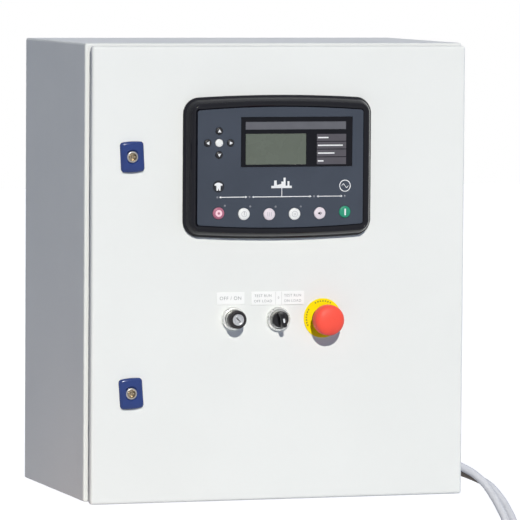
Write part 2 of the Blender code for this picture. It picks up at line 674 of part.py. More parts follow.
def lock(side, frame, tilt):
    """One quarter-turn lock: the moulded housing, the turning insert and its cam."""
    cover = empty(f"lock_{side}_cover", (0, 0, 0), (0, 0, math.radians(tilt)), frame)
    rise = LOCK_PROUD + OVERLAP - LOCK_WALL
    sections = [(lock_outline(0), GAP)]
    for i in range(4):
        turn = math.pi / 2 * i / 3
        sections.append((lock_outline(LOCK_EDGE * (1 - math.cos(turn))), LOCK_WALL + rise * math.sin(turn)))
    housing = loft(f"lock_housing_{side}", sections, BLUE, cover)
    crown_radius = (LOCK_WIDTH**2 / 4 + LOCK_CROWN**2) / (2 * LOCK_CROWN)
    crown = rod(
        f"lock_crown_{side}",
        crown_radius,
        -LOCK_HEIGHT,
        LOCK_HEIGHT,
        parent=cover,
        at=(LOCK_SHIFT[0], 0, LOCK_PROUD - crown_radius),
        turn=(math.pi / 2, 0, 0),
        sides=72,
    )
    keep_inside(housing, crown)
    smooth(housing, 50)
    barrel_end = -LOCK_BARREL_LENGTH
    join(housing, rod(f"lock_barrel_{side}", LOCK_BARREL_RADIUS, barrel_end, GAP + OVERLAP, parent=frame))
    dish = turned(
        f"lock_dish_{side}",
        [
            (0, LOCK_PROUD + PAST),
            (LOCK_DISH_RADIUS, LOCK_PROUD + PAST),
            (LOCK_DISH_RADIUS, LOCK_PROUD - LOCK_CROWN / 4),
            (INSERT_RADIUS, LOCK_PROUD - LOCK_DISH_DEPTH),
            (0, LOCK_PROUD - LOCK_DISH_DEPTH),
        ],
        parent=frame,
    )
    bore = rod(f"lock_bore_{side}", INSERT_RADIUS + GAP, barrel_end - PAST, LOCK_PROUD + PAST, parent=frame)
    cut(housing, dish, bore)

    cam_front = -(FLANGE_BACK - FRONT + CAM_CLEARANCE)
    cam_back = cam_front - CAM_THICKNESS
    top = LOCK_PROUD + 0.3 * MM
    insert = turned(
        f"lock_insert_{side}",
        [
            (0, top),
            (INSERT_RADIUS - 0.6 * MM, top),
            (INSERT_RADIUS, top - 0.6 * MM),
            (INSERT_RADIUS, cam_front + GAP),
            (0, cam_front + GAP),
        ],
        CHROME,
        frame,
    )
    half = DRIVE / 2
    drive_low = (-half, -half, cam_back - OVERLAP)
    drive_high = (half, half, cam_front + PAST)
    join(insert, block(f"drive_{side}", drive_low, drive_high, None, frame))
    head = cam_back - GAP - 3 * MM
    join(insert, rod(f"cam_screw_{side}", DRIVE * 0.75, head, cam_back - GAP, parent=frame, sides=6))
    floor = top - KEYHOLE_DEPTH
    wing = 1.2 * MM
    keyhole = turned(
        f"keyhole_{side}",
        [
            (KEYHOLE_RADIUS, top + PAST),
            (KEYHOLE_RADIUS, floor),
            (1.6 * MM, floor),
            (1.6 * MM, top + PAST),
        ],
        parent=frame,
        steps=20,
        closed=True,
    )
    cut(insert, keyhole)
    reach = KEYHOLE_RADIUS - 0.8 * MM
    wings_low = (-reach, -wing, floor - OVERLAP)
    wings_high = (reach, wing, top - 1 * MM)
    join(insert, block(f"wings_{side}", wings_low, wings_high, None, frame))

    half_cam = CAM_WIDTH / 2
    blade = [(half_cam * math.cos(a), half_cam * math.sin(a)) for a in half_circle(math.pi, 8)]
    tip = CAM_LENGTH - half_cam / 2
    blade += [(half_cam, tip), (half_cam / 2, CAM_LENGTH), (-half_cam / 2, CAM_LENGTH), (-half_cam, tip)]
    hole = half + GAP
    square = [(-hole, -hole), (hole, -hole), (hole, hole), (-hole, hole)]
    prism(f"lock_cam_{side}", [blade, square], cam_back, cam_front, STEEL, frame)


def half_circle(start, steps):
    return [start + math.pi * i / steps for i in range(steps + 1)]


def bezel_outline(share, corner_steps=5, arch_steps=6):
    """The bezel's outline, drawn in by a share of the rim's width."""
    radius = BEZEL_CORNER_RADIUS + share * (FACIA_CORNER_RADIUS - BEZEL_CORNER_RADIUS)
    width = BEZEL_WIDTH - 2 * share * RIM_SIDE
    height = BEZEL_HEIGHT - 2 * share * RIM_TOP
    return arched_outline(width, height, radius, BEZEL_ARCH, corner_steps, arch_steps)


def button_places():
    """(name, x, y, radius, material) of every button, in the controller's frame."""
    places = [
        ("nav_button_centre", NAV_X, NAV_Y, NAV_CENTRE_RADIUS, WHITE),
        ("nav_button_up", NAV_X, NAV_Y + NAV_PITCH, NAV_RADIUS, BLACK),
        ("nav_button_down", NAV_X, NAV_Y - NAV_PITCH, NAV_RADIUS, BLACK),
        ("nav_button_left", NAV_X - NAV_PITCH, NAV_Y, NAV_RADIUS, BLACK),
        ("nav_button_right", NAV_X + NAV_PITCH, NAV_Y, NAV_RADIUS, BLACK),
    ]
    paints = (RED, WHITE, PINK, WHITE, PINK, GREEN)
    names = ("stop", "manual", "test", "auto", "mute", "start")
    for i in range(FUNCTION_COUNT):
        half = (FUNCTION_COUNT - 1) / 2
        x = FUNCTION_X + (i - half) * FUNCTION_PITCH
        y = FUNCTION_Y - FUNCTION_ARCH * (1 - (i / half - 1) ** 2)
        places.append((f"button_{names[i]}", x, y, FUNCTION_RADIUS, paints[i]))
    return places


def controller_bezel():
    """The moulded front: a stepped, rounded rim round the plate that carries the facia and the buttons."""
    # Each pair is how far in across the rim, as a share of it, and how far out of the door.
    rim = [(0, GAP), (0, 3.2 * MM), (0.07, 4.6 * MM), (0.18, 5.6 * MM), (0.21, 8 * MM)]
    rim += [(0.32, 12 * MM), (0.42, 15 * MM), (0.51, 17.2 * MM), (0.6, 18.3 * MM), (0.67, BEZEL_PROUD)]
    rim += [(0.75, 17.9 * MM), (0.85, 16.8 * MM), (1, SEAT_HEIGHT)]
    sections = [(bezel_outline(share), height) for share, height in rim]
    made = loft("controller_bezel", sections, BLACK, CONTROLLER)
    half_w = CASE_WIDTH / 2 + GAP
    half_h = CASE_HEIGHT / 2 + GAP
    cut(made, block("bezel_pocket", (-half_w, -half_h, -PAST), (half_w, half_h, SEAT_BACK), None, CONTROLLER))
    cut(made, window_cutter("bezel_window", WINDOW_WIDTH + 2 * GAP, WINDOW_HEIGHT + 2 * GAP))
    holes = []
    for name, x, y, radius, _ in button_places():
        reach = radius + BUTTON_CLEARANCE
        hole = rod(f"bezel_hole_{name}", reach, 0, 2 * BEZEL_PROUD, parent=CONTROLLER, at=(x, y, 0), sides=12)
        holes.append(hole)
    cut(made, *holes)
    smooth(made, 50)
    return made


def window_cutter(name, width, height):
    low = (WINDOW_X - width / 2, WINDOW_Y - height / 2, 0)
    high = (WINDOW_X + width / 2, WINDOW_Y + height / 2, 2 * BEZEL_PROUD)
    return block(name, low, high, None, CONTROLLER)


def controller_facia():
    """The slate overlay, with holes for the window and the buttons."""
    width = BEZEL_WIDTH - 2 * RIM_SIDE - 2 * GAP
    height = BEZEL_HEIGHT - 2 * RIM_TOP - 2 * GAP
    outlines = [arched_outline(width, height, FACIA_CORNER_RADIUS, BEZEL_ARCH, 2, 6)]
    w = WINDOW_WIDTH / 2 + GAP
    h = WINDOW_HEIGHT / 2 + GAP
    outlines.append([(WINDOW_X + i * w, WINDOW_Y + j * h) for i, j in ((-1, -1), (1, -1), (1, 1), (-1, 1))])
    for _, x, y, radius, _ in button_places():
        outlines.append(circle(radius + BUTTON_CLEARANCE, x, y, 12))
    return prism("controller_facia", outlines, FACIA_BASE, FACIA_TOP, SLATE, CONTROLLER)


def display():
    """The black window frame and the liquid crystal panel in it."""
    outline = arched_outline(WINDOW_WIDTH, WINDOW_HEIGHT, 1 * MM, 0, 2)
    frame = [[(WINDOW_X + x, WINDOW_Y + y) for x, y in outline]]
    w = LCD_WIDTH / 2 + GAP
    h = LCD_HEIGHT / 2 + GAP
    frame.append([(LCD_X + i * w, LCD_Y + j * h) for i, j in ((-1, -1), (1, -1), (1, 1), (-1, 1))])
    prism("display_window", frame, SEAT_BACK, FACIA_TOP, GLASS_BLACK, CONTROLLER)
    low = (LCD_X - LCD_WIDTH / 2, LCD_Y - LCD_HEIGHT / 2, SEAT_BACK)
    high = (LCD_X + LCD_WIDTH / 2, LCD_Y + LCD_HEIGHT / 2, FACIA_TOP - 0.3 * MM)
    block("display_lcd", low, high, LCD, CONTROLLER)


def button(name, x, y, radius, paint):
    """A domed key cap with a flange that keeps it behind the plate."""
    flange_top = SEAT_BACK - GAP
    top = FACIA_TOP + BUTTON_PROUD
    profile = [
        (0, top),
        (radius * 0.6, top - 0.25 * MM),
        (radius * 0.92, top - 0.75 * MM),
        (radius, top - 1.4 * MM),
        (radius, flange_top),
        (radius + 1 * MM, flange_top),
        (radius + 1 * MM, flange_top - 1.4 * MM),
        (0, flange_top - 1.4 * MM),
    ]
    turned(name, profile, paint, CONTROLLER, at=(x, y, 0), steps=12)


def controller_rear_case():
    """The case behind the door, with its connector plugs, seated in the back of the bezel."""
    front = SEAT_BACK - GAP
    made = block(
        "controller_rear_case",
        (-CASE_WIDTH / 2, -CASE_HEIGHT / 2, -CASE_DEPTH),
        (CASE_WIDTH / 2, CASE_HEIGHT / 2, front),
        GREY,
        CONTROLLER,
    )
    rim = 6 * MM
    depth = 2.4 * MM + BUTTON_TRAVEL
    well = block(
        "button_well",
        (-CASE_WIDTH / 2 + rim, -CASE_HEIGHT / 2 + rim, front - depth),
        (CASE_WIDTH / 2 - rim, CASE_HEIGHT / 2 - rim, front + PAST),
        None,
        CONTROLLER,
    )
    cut(made, well)
    pitch = 42 * MM
    plug = (34 * MM, 15 * MM, 20 * MM)
    edge = CASE_HEIGHT / 2 - plug[1] / 2 - 4 * MM
    plugs = [(i * pitch, j * edge, -CASE_DEPTH) for i in (-2, -1, 0, 1, 2) for j in (-1, 1)]
    join(made, add("case_plugs", boxes("plug_forms", plug, plugs), parent=CONTROLLER))


def contact_block(name, frame, bore_depth):
    """The block behind the door: a fixing collar on the device's thread and the contacts' housing."""
    back = -SHEET - GAP
    made = rod(name, COLLAR_RADIUS, -10 * MM, back, GREY, frame, sides=20)
    half_w = BLOCK_WIDTH / 2
    half_h = BLOCK_HEIGHT / 2
    body = block(f"{name}_body", (-half_w, -half_h, -BLOCK_DEPTH), (half_w, half_h, -9 * MM), None, frame)
    join(made, body)
    places = [(i * 7.5 * MM, j * half_h, -30 * MM) for i in (-1, 1) for j in (-1, 1)]
    slots = boxes(f"{name}_slots", (6 * MM, 8 * MM, 12 * MM), places)
    cut(made, add(f"{name}_terminals", slots, parent=frame))
    cut(made, rod(f"{name}_bore", THREAD_RADIUS + GAP, -bore_depth - GAP, PAST, parent=frame, sides=20))
    return made


def key_switch(frame):
    body = turned(
        "key_switch_body",
        [
            (KEY_BARREL_RADIUS + GAP, KEY_COLLAR_HEIGHT),
            (KEY_COLLAR_RADIUS - 1.2 * MM, KEY_COLLAR_HEIGHT),
            (KEY_COLLAR_RADIUS, KEY_COLLAR_HEIGHT - 1.2 * MM),
            (KEY_COLLAR_RADIUS, KEY_RING_HEIGHT),
            (KEY_RING_RADIUS - 1.8 * MM, KEY_RING_HEIGHT),
            (KEY_RING_RADIUS, KEY_RING_HEIGHT - 1.8 * MM),
            (KEY_RING_RADIUS, GAP),
            (THREAD_RADIUS, GAP),
            (THREAD_RADIUS, -THREAD_LENGTH),
            (KEY_BARREL_RADIUS + GAP, -THREAD_LENGTH),
        ],
        CREAM,
        frame,
        closed=True,
    )
    top = KEY_COLLAR_HEIGHT + 1.5 * MM
    barrel = turned(
        "key_barrel",
        [
            (0, top),
            (KEY_BARREL_RADIUS - 0.8 * MM, top),
            (KEY_BARREL_RADIUS, top - 0.8 * MM),
            (KEY_BARREL_RADIUS, -THREAD_LENGTH + GAP),
            (0, -THREAD_LENGTH + GAP),
        ],
        CHROME,
        frame,
    )
    slot = box("key_slot", (1.8 * MM, 8 * MM, 12 * MM), (0, 0, top), parent=frame)
    slot.rotation_euler = (0, 0, math.radians(KEY_SLOT_TILT))
    cut(barrel, slot)
    contact_block("key_contact_block", frame, THREAD_LENGTH)
    return body


def selector(frame):
    stem = 6 * MM
    turned(
        "selector_body",
        [
            (stem + GAP, SELECTOR_RING_HEIGHT),
            (SELECTOR_RING_RADIUS - 2 * MM, SELECTOR_RING_HEIGHT),
            (SELECTOR_RING_RADIUS, SELECTOR_RING_HEIGHT - 2 * MM),
            (SELECTOR_RING_RADIUS, GAP),
            (THREAD_RADIUS, GAP),
            (THREAD_RADIUS, -THREAD_LENGTH),
            (stem + GAP, -THREAD_LENGTH),
        ],
        CREAM,
        frame,
        closed=True,
    )
    disc_base = SELECTOR_RING_HEIGHT + GAP
    knob = turned(
        "selector_knob",
        [
            (0, KNOB_DISC_HEIGHT),
            (KNOB_RADIUS - 1 * MM, KNOB_DISC_HEIGHT),
            (KNOB_RADIUS, KNOB_DISC_HEIGHT - 1 * MM),
            (KNOB_RADIUS, disc_base + 3 * MM),
            (KNOB_FOOT_RADIUS, disc_base),
            (stem, disc_base),
            (stem, -THREAD_LENGTH + GAP),
            (0, -THREAD_LENGTH + GAP),
        ],
        BLACK,
        frame,
    )
    outline = arched_outline(GRIP_WIDTH, GRIP_LENGTH, GRIP_WIDTH / 2 - 0.1 * MM, corner_steps=4)
    narrow = arched_outline(GRIP_WIDTH * 0.7, GRIP_LENGTH * 0.94, GRIP_WIDTH * 0.3, corner_steps=4)
    grip = loft(
        "knob_grip",
        [(outline, disc_base + 1 * MM), (outline, KNOB_DISC_HEIGHT + 4 * MM), (narrow, GRIP_HEIGHT)],
        parent=frame,
    )
    grip.rotation_euler = (0, 0, math.radians(GRIP_TILT))
    join(knob, grip)
    contact_block("selector_contact_block", frame, THREAD_LENGTH)


def emergency_stop(frame):
    stem = ESTOP_STEM_RADIUS
    prism(
        "estop_ring",
        [circle(ESTOP_RING_RADIUS, *ESTOP_RING_SHIFT, 32), circle(THREAD_RADIUS + GAP, sides=24)],
        GAP,
        GAP + ESTOP_RING_THICKNESS,
        YELLOW,
        frame,
    )
    base = 2 * GAP + ESTOP_RING_THICKNESS
    turned(
        "estop_body",
        [
            (stem + GAP, ESTOP_COLLAR_HEIGHT),
            (ESTOP_COLLAR_RADIUS - 1.5 * MM, ESTOP_COLLAR_HEIGHT),
            (ESTOP_COLLAR_RADIUS, ESTOP_COLLAR_HEIGHT - 1.5 * MM),
            (ESTOP_COLLAR_RADIUS, base),
            (THREAD_RADIUS, base),
            (THREAD_RADIUS, -THREAD_LENGTH),
            (stem + GAP, -THREAD_LENGTH),
        ],
        BLACK,
        frame,
        closed=True,
    )
    neck = ESTOP_HEAD_BASE + 8 * MM
    spigot = 4 * MM
    turned(
        "estop_plunger",
        [
            (0, neck),
            (spigot, neck),
            (spigot, ESTOP_HEAD_BASE - GAP),
            (stem, ESTOP_HEAD_BASE - GAP),
            (stem, -THREAD_LENGTH + ESTOP_TRAVEL + GAP),
            (0, -THREAD_LENGTH + ESTOP_TRAVEL + GAP),
        ],
        BLACK,
        frame,
        steps=16,
    )
    rim = ESTOP_HEAD_RIM
    dome = []
    for i in range(7):
        angle = math.pi / 2 * i / 6
        height = rim + (ESTOP_HEAD_TOP - rim) * math.cos(angle) ** 0.8
        dome.append((ESTOP_HEAD_RADIUS * math.sin(angle) ** 0.75, height))
    turned(
        "estop_head",
        dome
        + [
            (ESTOP_HEAD_RADIUS, ESTOP_HEAD_BASE + 1.3 * MM),
            (ESTOP_HEAD_RADIUS - 1 * MM, ESTOP_HEAD_BASE + 0.5 * MM),
            (12 * MM, ESTOP_HEAD_BASE),
            (spigot + GAP, ESTOP_HEAD_BASE),
            (spigot + GAP, neck + GAP),
            (0, neck + GAP),
        ],
        RED,
        frame,
        steps=24,
    )
    contact_block("estop_contact_block", frame, THREAD_LENGTH)


def label_plate(name, device, label):
    """An engraving plate over its device."""
    x, z, width, height = label
    frame = empty(f"{name}_place", (x, z, 0), parent=device)
    outline = arched_outline(width, height, PLATE_CORNER_RADIUS, corner_steps=2)
    return prism(name, [outline], GAP, GAP + PLATE_THICKNESS, WHITE, frame), frame, height


def label_plates():
    label_plate("label_plate_key", DEVICES[0], KEY_LABEL)
    plate, frame, height = label_plate("label_plate_selector", DEVICES[1], SELECTOR_LABEL)
    for i, at in enumerate(SELECTOR_LABEL_CUTS):
        low = (at - GROOVE_WIDTH / 2, -height, GAP + PLATE_THICKNESS * 0.6)
        high = (at + GROOVE_WIDTH / 2, height, PAST)
        cut(plate, block(f"label_groove_{i}", low, high, None, frame))


def mounting_plate():
    y = PLATE_FRONT + PLATE_SHEET / 2
    plate = box("mounting_plate", (PLATE_WIDTH, PLATE_SHEET, PLATE_HEIGHT), (0, y, 0), GALVANISED)
    for i, (x, z) in enumerate(plate_fixings()):
        turn = (math.pi / 2, 0, 0)
        hole = rod(f"plate_hole_{i}", STUD_RADIUS + GAP, -PAST, PAST, at=(x, y, z), turn=turn, sides=12)
        cut(plate, hole)


def din_rail(name, z):
    """A top-hat rail, its section extruded along X."""
    half = RAIL_HEIGHT / 2
    web = half - RAIL_BRIM
    sheet = RAIL_SHEET
    deep = RAIL_DEPTH
    section = [(web, 0), (web, deep - sheet), (half, deep - sheet), (half, deep)]
    section += [(web - sheet, deep), (web - sheet, sheet)]
    outline = section + [(-a, b) for a, b in reversed(section)]
    prism(
        name,
        [outline],
        -RAIL_LENGTH / 2,
        RAIL_LENGTH / 2,
        GALVANISED,
        at=(RAIL_X, PLATE_FRONT - GAP, z),
        turn=(0, math.pi / 2, 0),
    ).rotation_euler = Matrix(((0, 0, 1), (0, -1, 0), (1, 0, 0))).to_euler()


def wiring_duct(name, centre, length, upright):
    """A slotted wiring duct with its cover on, open at both ends."""
    middle = (centre[0], PLATE_FRONT - GAP - DUCT_DEPTH / 2, centre[1])
    along = Vector((0, 0, 1)) if upright else Vector((1, 0, 0))
    across = Vector((1, 0, 0)) if upright else Vector((0, 0, 1))
    ahead = Vector((0, 1, 0))

    def size(a, b, c):
        return tuple(abs(v) for v in along * a + across * b + ahead * c)

    duct = box(name, size(length, DUCT_WIDTH, DUCT_DEPTH), middle, GREY)
    inner = size(length + 2 * PAST, DUCT_WIDTH - 2 * DUCT_WALL, DUCT_DEPTH - 2 * DUCT_WALL)
    cut(duct, box(f"{name}_channel", inner, middle))
    count = int(length / DUCT_PITCH)
    places = [along * DUCT_PITCH * (i - (count - 1) / 2) for i in range(count)]
    slots = boxes(f"{name}_slot_forms", size(DUCT_SLOT, DUCT_WIDTH + 2 * PAST, DUCT_DEPTH * 0.62), places)
    cut(duct, add(f"{name}_slots", slots, at=middle))


def contactor(name, x):
    """A three-pole contactor: a deep base, a narrower contact housing and its terminals."""
    width, depth, height = CONTACTOR_WIDTH, CONTACTOR_DEPTH, CONTACTOR_HEIGHT
    back = PLATE_FRONT - GAP
    half = width / 2
    z = CONTACTOR_Z
    low = (x - half, back - depth * 0.5, z - height / 2)
    made = block(name, low, (x + half, back, z + height / 2), BLACK)
    nose_half = half - 6 * MM
    join(
        made,
        block(
            f"{name}_nose",
            (x - nose_half, back - depth, z - height * 0.33),
            (x + nose_half, back - depth * 0.45, z + height * 0.33),
        ),
    )
    pitch = width / 3
    tops = [
        (x + i * pitch, back - depth * 0.5, z + j * height / 2)
        for i in (-1, 0, 1)
        for j in (-1, 1)
    ]
    notch = (pitch * 0.62, depth * 0.4, height * 0.2)
    cut(made, add(f"{name}_terminals", boxes(f"{name}_notches", notch, tops)))
    window = block(
        f"{name}_window",
        (x - 12 * MM, back - depth - PAST, z - 8 * MM),
        (x + 12 * MM, back - depth + 3 * MM, z + 8 * MM),
    )
    cut(made, window)


def circuit_breaker():
    """A two-pole breaker on the upper rail, and the toggle that joins its poles."""
    back = RAIL_FRONT - GAP
    front = back - BREAKER_DEPTH
    step = back - BREAKER_BASE_DEPTH
    half = BREAKER_WIDTH / 2
    tall = BREAKER_HEIGHT / 2
    nose = BREAKER_NOSE_HEIGHT / 2
    x, z = RAIL_LEFT + BREAKER_PLACE, UPPER_RAIL_Z
    made = block("circuit_breaker", (x - half, step, z - tall), (x + half, back, z + tall), WHITE)
    join(made, block("breaker_nose", (x - half, front, z - nose), (x + half, step + OVERLAP, z + nose)))
    well_x = half - BREAKER_WIDTH / 8
    well_z = TOGGLE_RADIUS + BREAKER_NOSE_HEIGHT / 8
    well_floor = front + 2 * TOGGLE_RADIUS + TOGGLE_THICKNESS / 2
    well_low = (x - well_x, front - PAST, z - well_z)
    cut(made, block("toggle_well", well_low, (x + well_x, well_floor, z + well_z)))
    frame = empty("breaker_pivot", (x, well_floor - GAP - TOGGLE_RADIUS, z))
    drum = well_x - GAP
    turn = (0, math.pi / 2, 0)
    toggle = rod("breaker_toggle", TOGGLE_RADIUS, -drum, drum, BLACK, frame, turn=turn, sides=16)
    lever = boxes("toggle_lever", (2 * drum, TOGGLE_REACH, TOGGLE_THICKNESS), [(0, -TOGGLE_REACH / 2, 0)])
    join(toggle, add("toggle_lever", lever, turn=(math.radians(-BREAKER_TILT), 0, 0), parent=frame))


def battery_charger():
    """The rail-mounted charger, with cooling slots cut in its front."""
    x = RAIL_LEFT + CHARGER_PLACE
    back = RAIL_FRONT - GAP
    low = (x - CHARGER_WIDTH / 2, back - CHARGER_DEPTH, UPPER_RAIL_Z - CHARGER_HEIGHT / 2)
    high = (x + CHARGER_WIDTH / 2, back, UPPER_RAIL_Z + CHARGER_HEIGHT / 2)
    made = block("battery_charger", low, high, GALVANISED)
    slots = [(x, low[1], UPPER_RAIL_Z + (i - 2.5) * CHARGER_HEIGHT / 12) for i in range(6)]
    slot = (CHARGER_WIDTH * 0.66, 8 * MM, 3.5 * MM)
    cut(made, add("charger_slots", boxes("charger_slot_forms", slot, slots)))


def control_relay():
    """A plug-in relay on its rail socket."""
    back = RAIL_FRONT - GAP
    step = back - RELAY_SOCKET_DEPTH
    x, z = RAIL_LEFT + RELAY_PLACE, UPPER_RAIL_Z
    half = RELAY_WIDTH / 2
    tall = RELAY_HEIGHT / 2
    made = block("control_relay", (x - half, step, z - tall), (x + half, back, z + tall), BLACK)
    cube = RELAY_CUBE_WIDTH / 2
    cube_z = RELAY_CUBE_HEIGHT / 2
    low = (x - cube, back - RELAY_DEPTH, z - cube_z)
    join(made, block("relay_cube", low, (x + cube, step + OVERLAP, z + cube_z)))
    screws = [(x + i * RELAY_WIDTH / 4, step, z + j * RELAY_HEIGHT * 0.4) for i in (-1, 1) for j in (-1, 1)]
    notch = (RELAY_WIDTH * 0.22, 10 * MM, RELAY_HEIGHT * 0.09)
    cut(made, add("relay_terminals", boxes("relay_notches", notch, screws)))


def terminal_strip():
    """A row of terminals on the lower rail: one comb-shaped section, with a step at top and bottom."""
    depth, height = TERMINAL_DEPTH, TERMINAL_HEIGHT
    middle = RAIL_LEFT + TERMINAL_PLACE
    back = RAIL_FRONT - GAP
    slot = 1 * MM
    slot_depth = 9 * MM
    start = middle - TERMINAL_COUNT * TERMINAL_PITCH / 2
    outline = [(start, 0)]
    for i in range(TERMINAL_COUNT):
        left = start + i * TERMINAL_PITCH
        right = left + TERMINAL_PITCH - slot
        outline += [(left, depth), (right, depth)]
        if i < TERMINAL_COUNT - 1:
            outline += [(right, depth - slot_depth), (right + slot, depth - slot_depth)]
    outline.append((outline[-1][0], 0))
    made = prism("terminal_strip", [outline], -height / 2, height / 2, GREEN)
    made.data.transform(Matrix.Scale(-1, 4, (0, 1, 0)))
    made.data.flip_normals()
    made.location = (0, back, LOWER_RAIL_Z)
    step = (RAIL_LENGTH, depth * 0.8, 16 * MM)
    steps = [(middle, back - depth, LOWER_RAIL_Z + j * height / 2) for j in (-1, 1)]
    cut(made, add("terminal_steps", boxes("terminal_step_forms", step, steps)))


def cable_gland(name, y, z):
    """A gland through the right wall: thread, hexagon and dome nut, with a mouth for the cable."""
    frame = empty(f"{name}_place", (BODY_WIDTH / 2, y, z), (0, math.pi / 2, 0))
    end = GAP + GLAND_LENGTH
    mouth = CABLE_RADIUS + GAP
    dome = GLAND_DOME_RADIUS
    floor = end - GLAND_MOUTH_DEPTH
    hex_top = GAP + GLAND_HEX_LENGTH
    made = turned(
        name,
        [
            (0, floor),
            (mouth, floor),
            (mouth, end),
            (dome - 3 * MM, end),
            (dome - 1 * MM, end - 2 * MM),
            (dome, end - 5 * MM),
            (dome, hex_top - OVERLAP),
            (GLAND_THREAD_RADIUS, hex_top - OVERLAP),
            (GLAND_THREAD_RADIUS, -12 * MM),
            (0, -12 * MM),
        ],
        GREY,
        frame,
        steps=20,
    )
    join(made, rod(f"{name}_hexagon", GLAND_HEX_RADIUS, GAP, hex_top, parent=frame, sides=6))
    return Vector((BODY_WIDTH / 2 + floor + GAP, y, z))


def smooth_route(points, step):
    """Points about one step apart along a smooth curve through the given ones."""
    ends = [2 * points[0] - points[1]] + points + [2 * points[-1] - points[-2]]
    fine = []
    for a, b, c, d in zip(ends, ends[1:], ends[2:], ends[3:]):
        for i in range(20):
            t = i / 20
            bend = (2 * a - 5 * b + 4 * c - d) * t**2 + (3 * b - a - 3 * c + d) * t**3
            fine.append(0.5 * (2 * b + (c - a) * t + bend))
    fine.append(points[-1])
    length = sum((q - p).length for p, q in zip(fine, fine[1:]))
    count = max(2, round(length / step))
    kept = [fine[0]]
    run = 0.0
    for p, q in zip(fine, fine[1:]):
        run += (q - p).length
        if run >= length * len(kept) / count and len(kept) < count:
            kept.append(q)
    return kept + [fine[-1]]


def cable(name, start, route):
    """A round cable, straight in its gland's mouth, then along a route from the gland's hole."""
    mouth = start + Vector((GLAND_MOUTH_DEPTH + 1 * MM, 0, 0))
    place = Vector((BODY_WIDTH / 2, start.y, start.z))
    line = [start] + smooth_route([mouth] + [place + Vector(p) * MM for p in route], CABLE_STEP)
    curve = bpy.data.curves.new(name, "CURVE")
    curve.dimensions = "3D"
    curve.bevel_depth = CABLE_RADIUS
    curve.bevel_resolution = 2
    curve.use_fill_caps = True
    curve.materials.append(CABLE_GREY)
    spline = curve.splines.new("POLY")
    spline.points.add(len(line) - 1)
    for point, place in zip(spline.points, line):
        point.co = (*place, 1)
    made = bpy.data.objects.new(name, curve)
    PARTS.objects.link(made)


# The cables' routes beyond their glands, in millimetres from each gland's hole in the wall.
CABLE_FRONT_ROUTE = [
    (34, 0.8, -0.6),
    (43, 2.8, -3),
    (52.6, 4.9, -7.4),
    (61.5, 6, -11.9),
    (70.4, 6.5, -17.3),
    (84.2, 6.3, -29.3),
    (96.2, 5.5, -45.8),
    (107, 4.5, -64.7),
    (113.9, 3.5, -79.2),
    (120, 2.5, -97),
    (125.5, 1.5, -122),
    (129.5, 0.5, -157),
    (131.5, -0.5, -205),
    (131.5, -1.5, -270),
    (130.5, -2, -345),
]
CABLE_REAR_ROUTE = [
    (34, -0.8, -0.6),
    (43, -2.6, -2.9),
    (52, -4.6, -6.4),
    (61.2, -5.8, -10.2),
    (76.4, -6.8, -16.4),
    (90.9, -6.2, -23.4),
    (102.6, -5, -32.1),
    (116.2, -3.3, -47.7),
    (124.4, -2.3, -60.1),
    (132.5, -1.6, -75.5),
    (140.5, -1, -95),
    (147.5, -0.8, -123),
    (152, -1, -161),
    (154.5, -1.5, -209),
    (154.5, -2.5, -259),
    (153.5, -3.5, -318),
]


CONTROLLER = on_door("controller_place", CONTROLLER_X, CONTROLLER_Z)
DEVICES = [
    on_door(f"{name}_place", DEVICE_X + i * DEVICE_PITCH, DEVICE_Z + rise)
    for i, name, rise in zip((-1, 0, 1), ("key_switch", "selector", "estop"), DEVICE_RISES)
]
LOCKS = [
    on_door(f"lock_{side}_place", LOCK_X, LOCK_Z + sign * LOCK_SPREAD / 2)
    for side, sign in (("upper", 1), ("lower", -1))
]


def main():
    enclosure_body()
    mounting_plate()
    din_rail("din_rail_upper", UPPER_RAIL_Z)
    din_rail("din_rail_lower", LOWER_RAIL_Z)
    side_x = -PLATE_WIDTH / 2 + DUCT_EDGE + DUCT_WIDTH / 2
    wiring_duct("wiring_duct_side", (side_x, 0), PLATE_HEIGHT - 2 * DUCT_SHORT, True)
    wiring_duct("wiring_duct_middle", (RAIL_X, MIDDLE_DUCT_Z), RAIL_LENGTH, False)
    contactor("mains_contactor", RAIL_LEFT + CONTACTOR_PLACE)
    contactor("generator_contactor", RAIL_LEFT + CONTACTOR_PLACE + CONTACTOR_PITCH)
    circuit_breaker()
    battery_charger()
    control_relay()
    terminal_strip()
    door()
    door_gasket()
    for side, sign in (("upper", 1), ("lower", -1)):
        hinge(side, DOOR_Z + sign * HINGE_SPREAD / 2)
    for side, frame, tilt in zip(("upper", "lower"), LOCKS, LOCK_TILTS):
        lock(side, frame, tilt)
    controller_bezel()
    controller_facia()
    display()
    for place in button_places():
        button(*place)
    controller_rear_case()
    key_switch(DEVICES[0])
    selector(DEVICES[1])
    emergency_stop(DEVICES[2])
    label_plates()
    for name, place, route in zip(("front", "rear"), GLANDS, (CABLE_FRONT_ROUTE, CABLE_REAR_ROUTE)):
        cable(f"cable_{name}", cable_gland(f"cable_gland_{name}", *place), route)


main()
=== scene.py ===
"""Looks of the wall-mounted generator set control panel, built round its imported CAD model."""

import json
import math

import bmesh
import bpy
from mathutils import Matrix, Vector


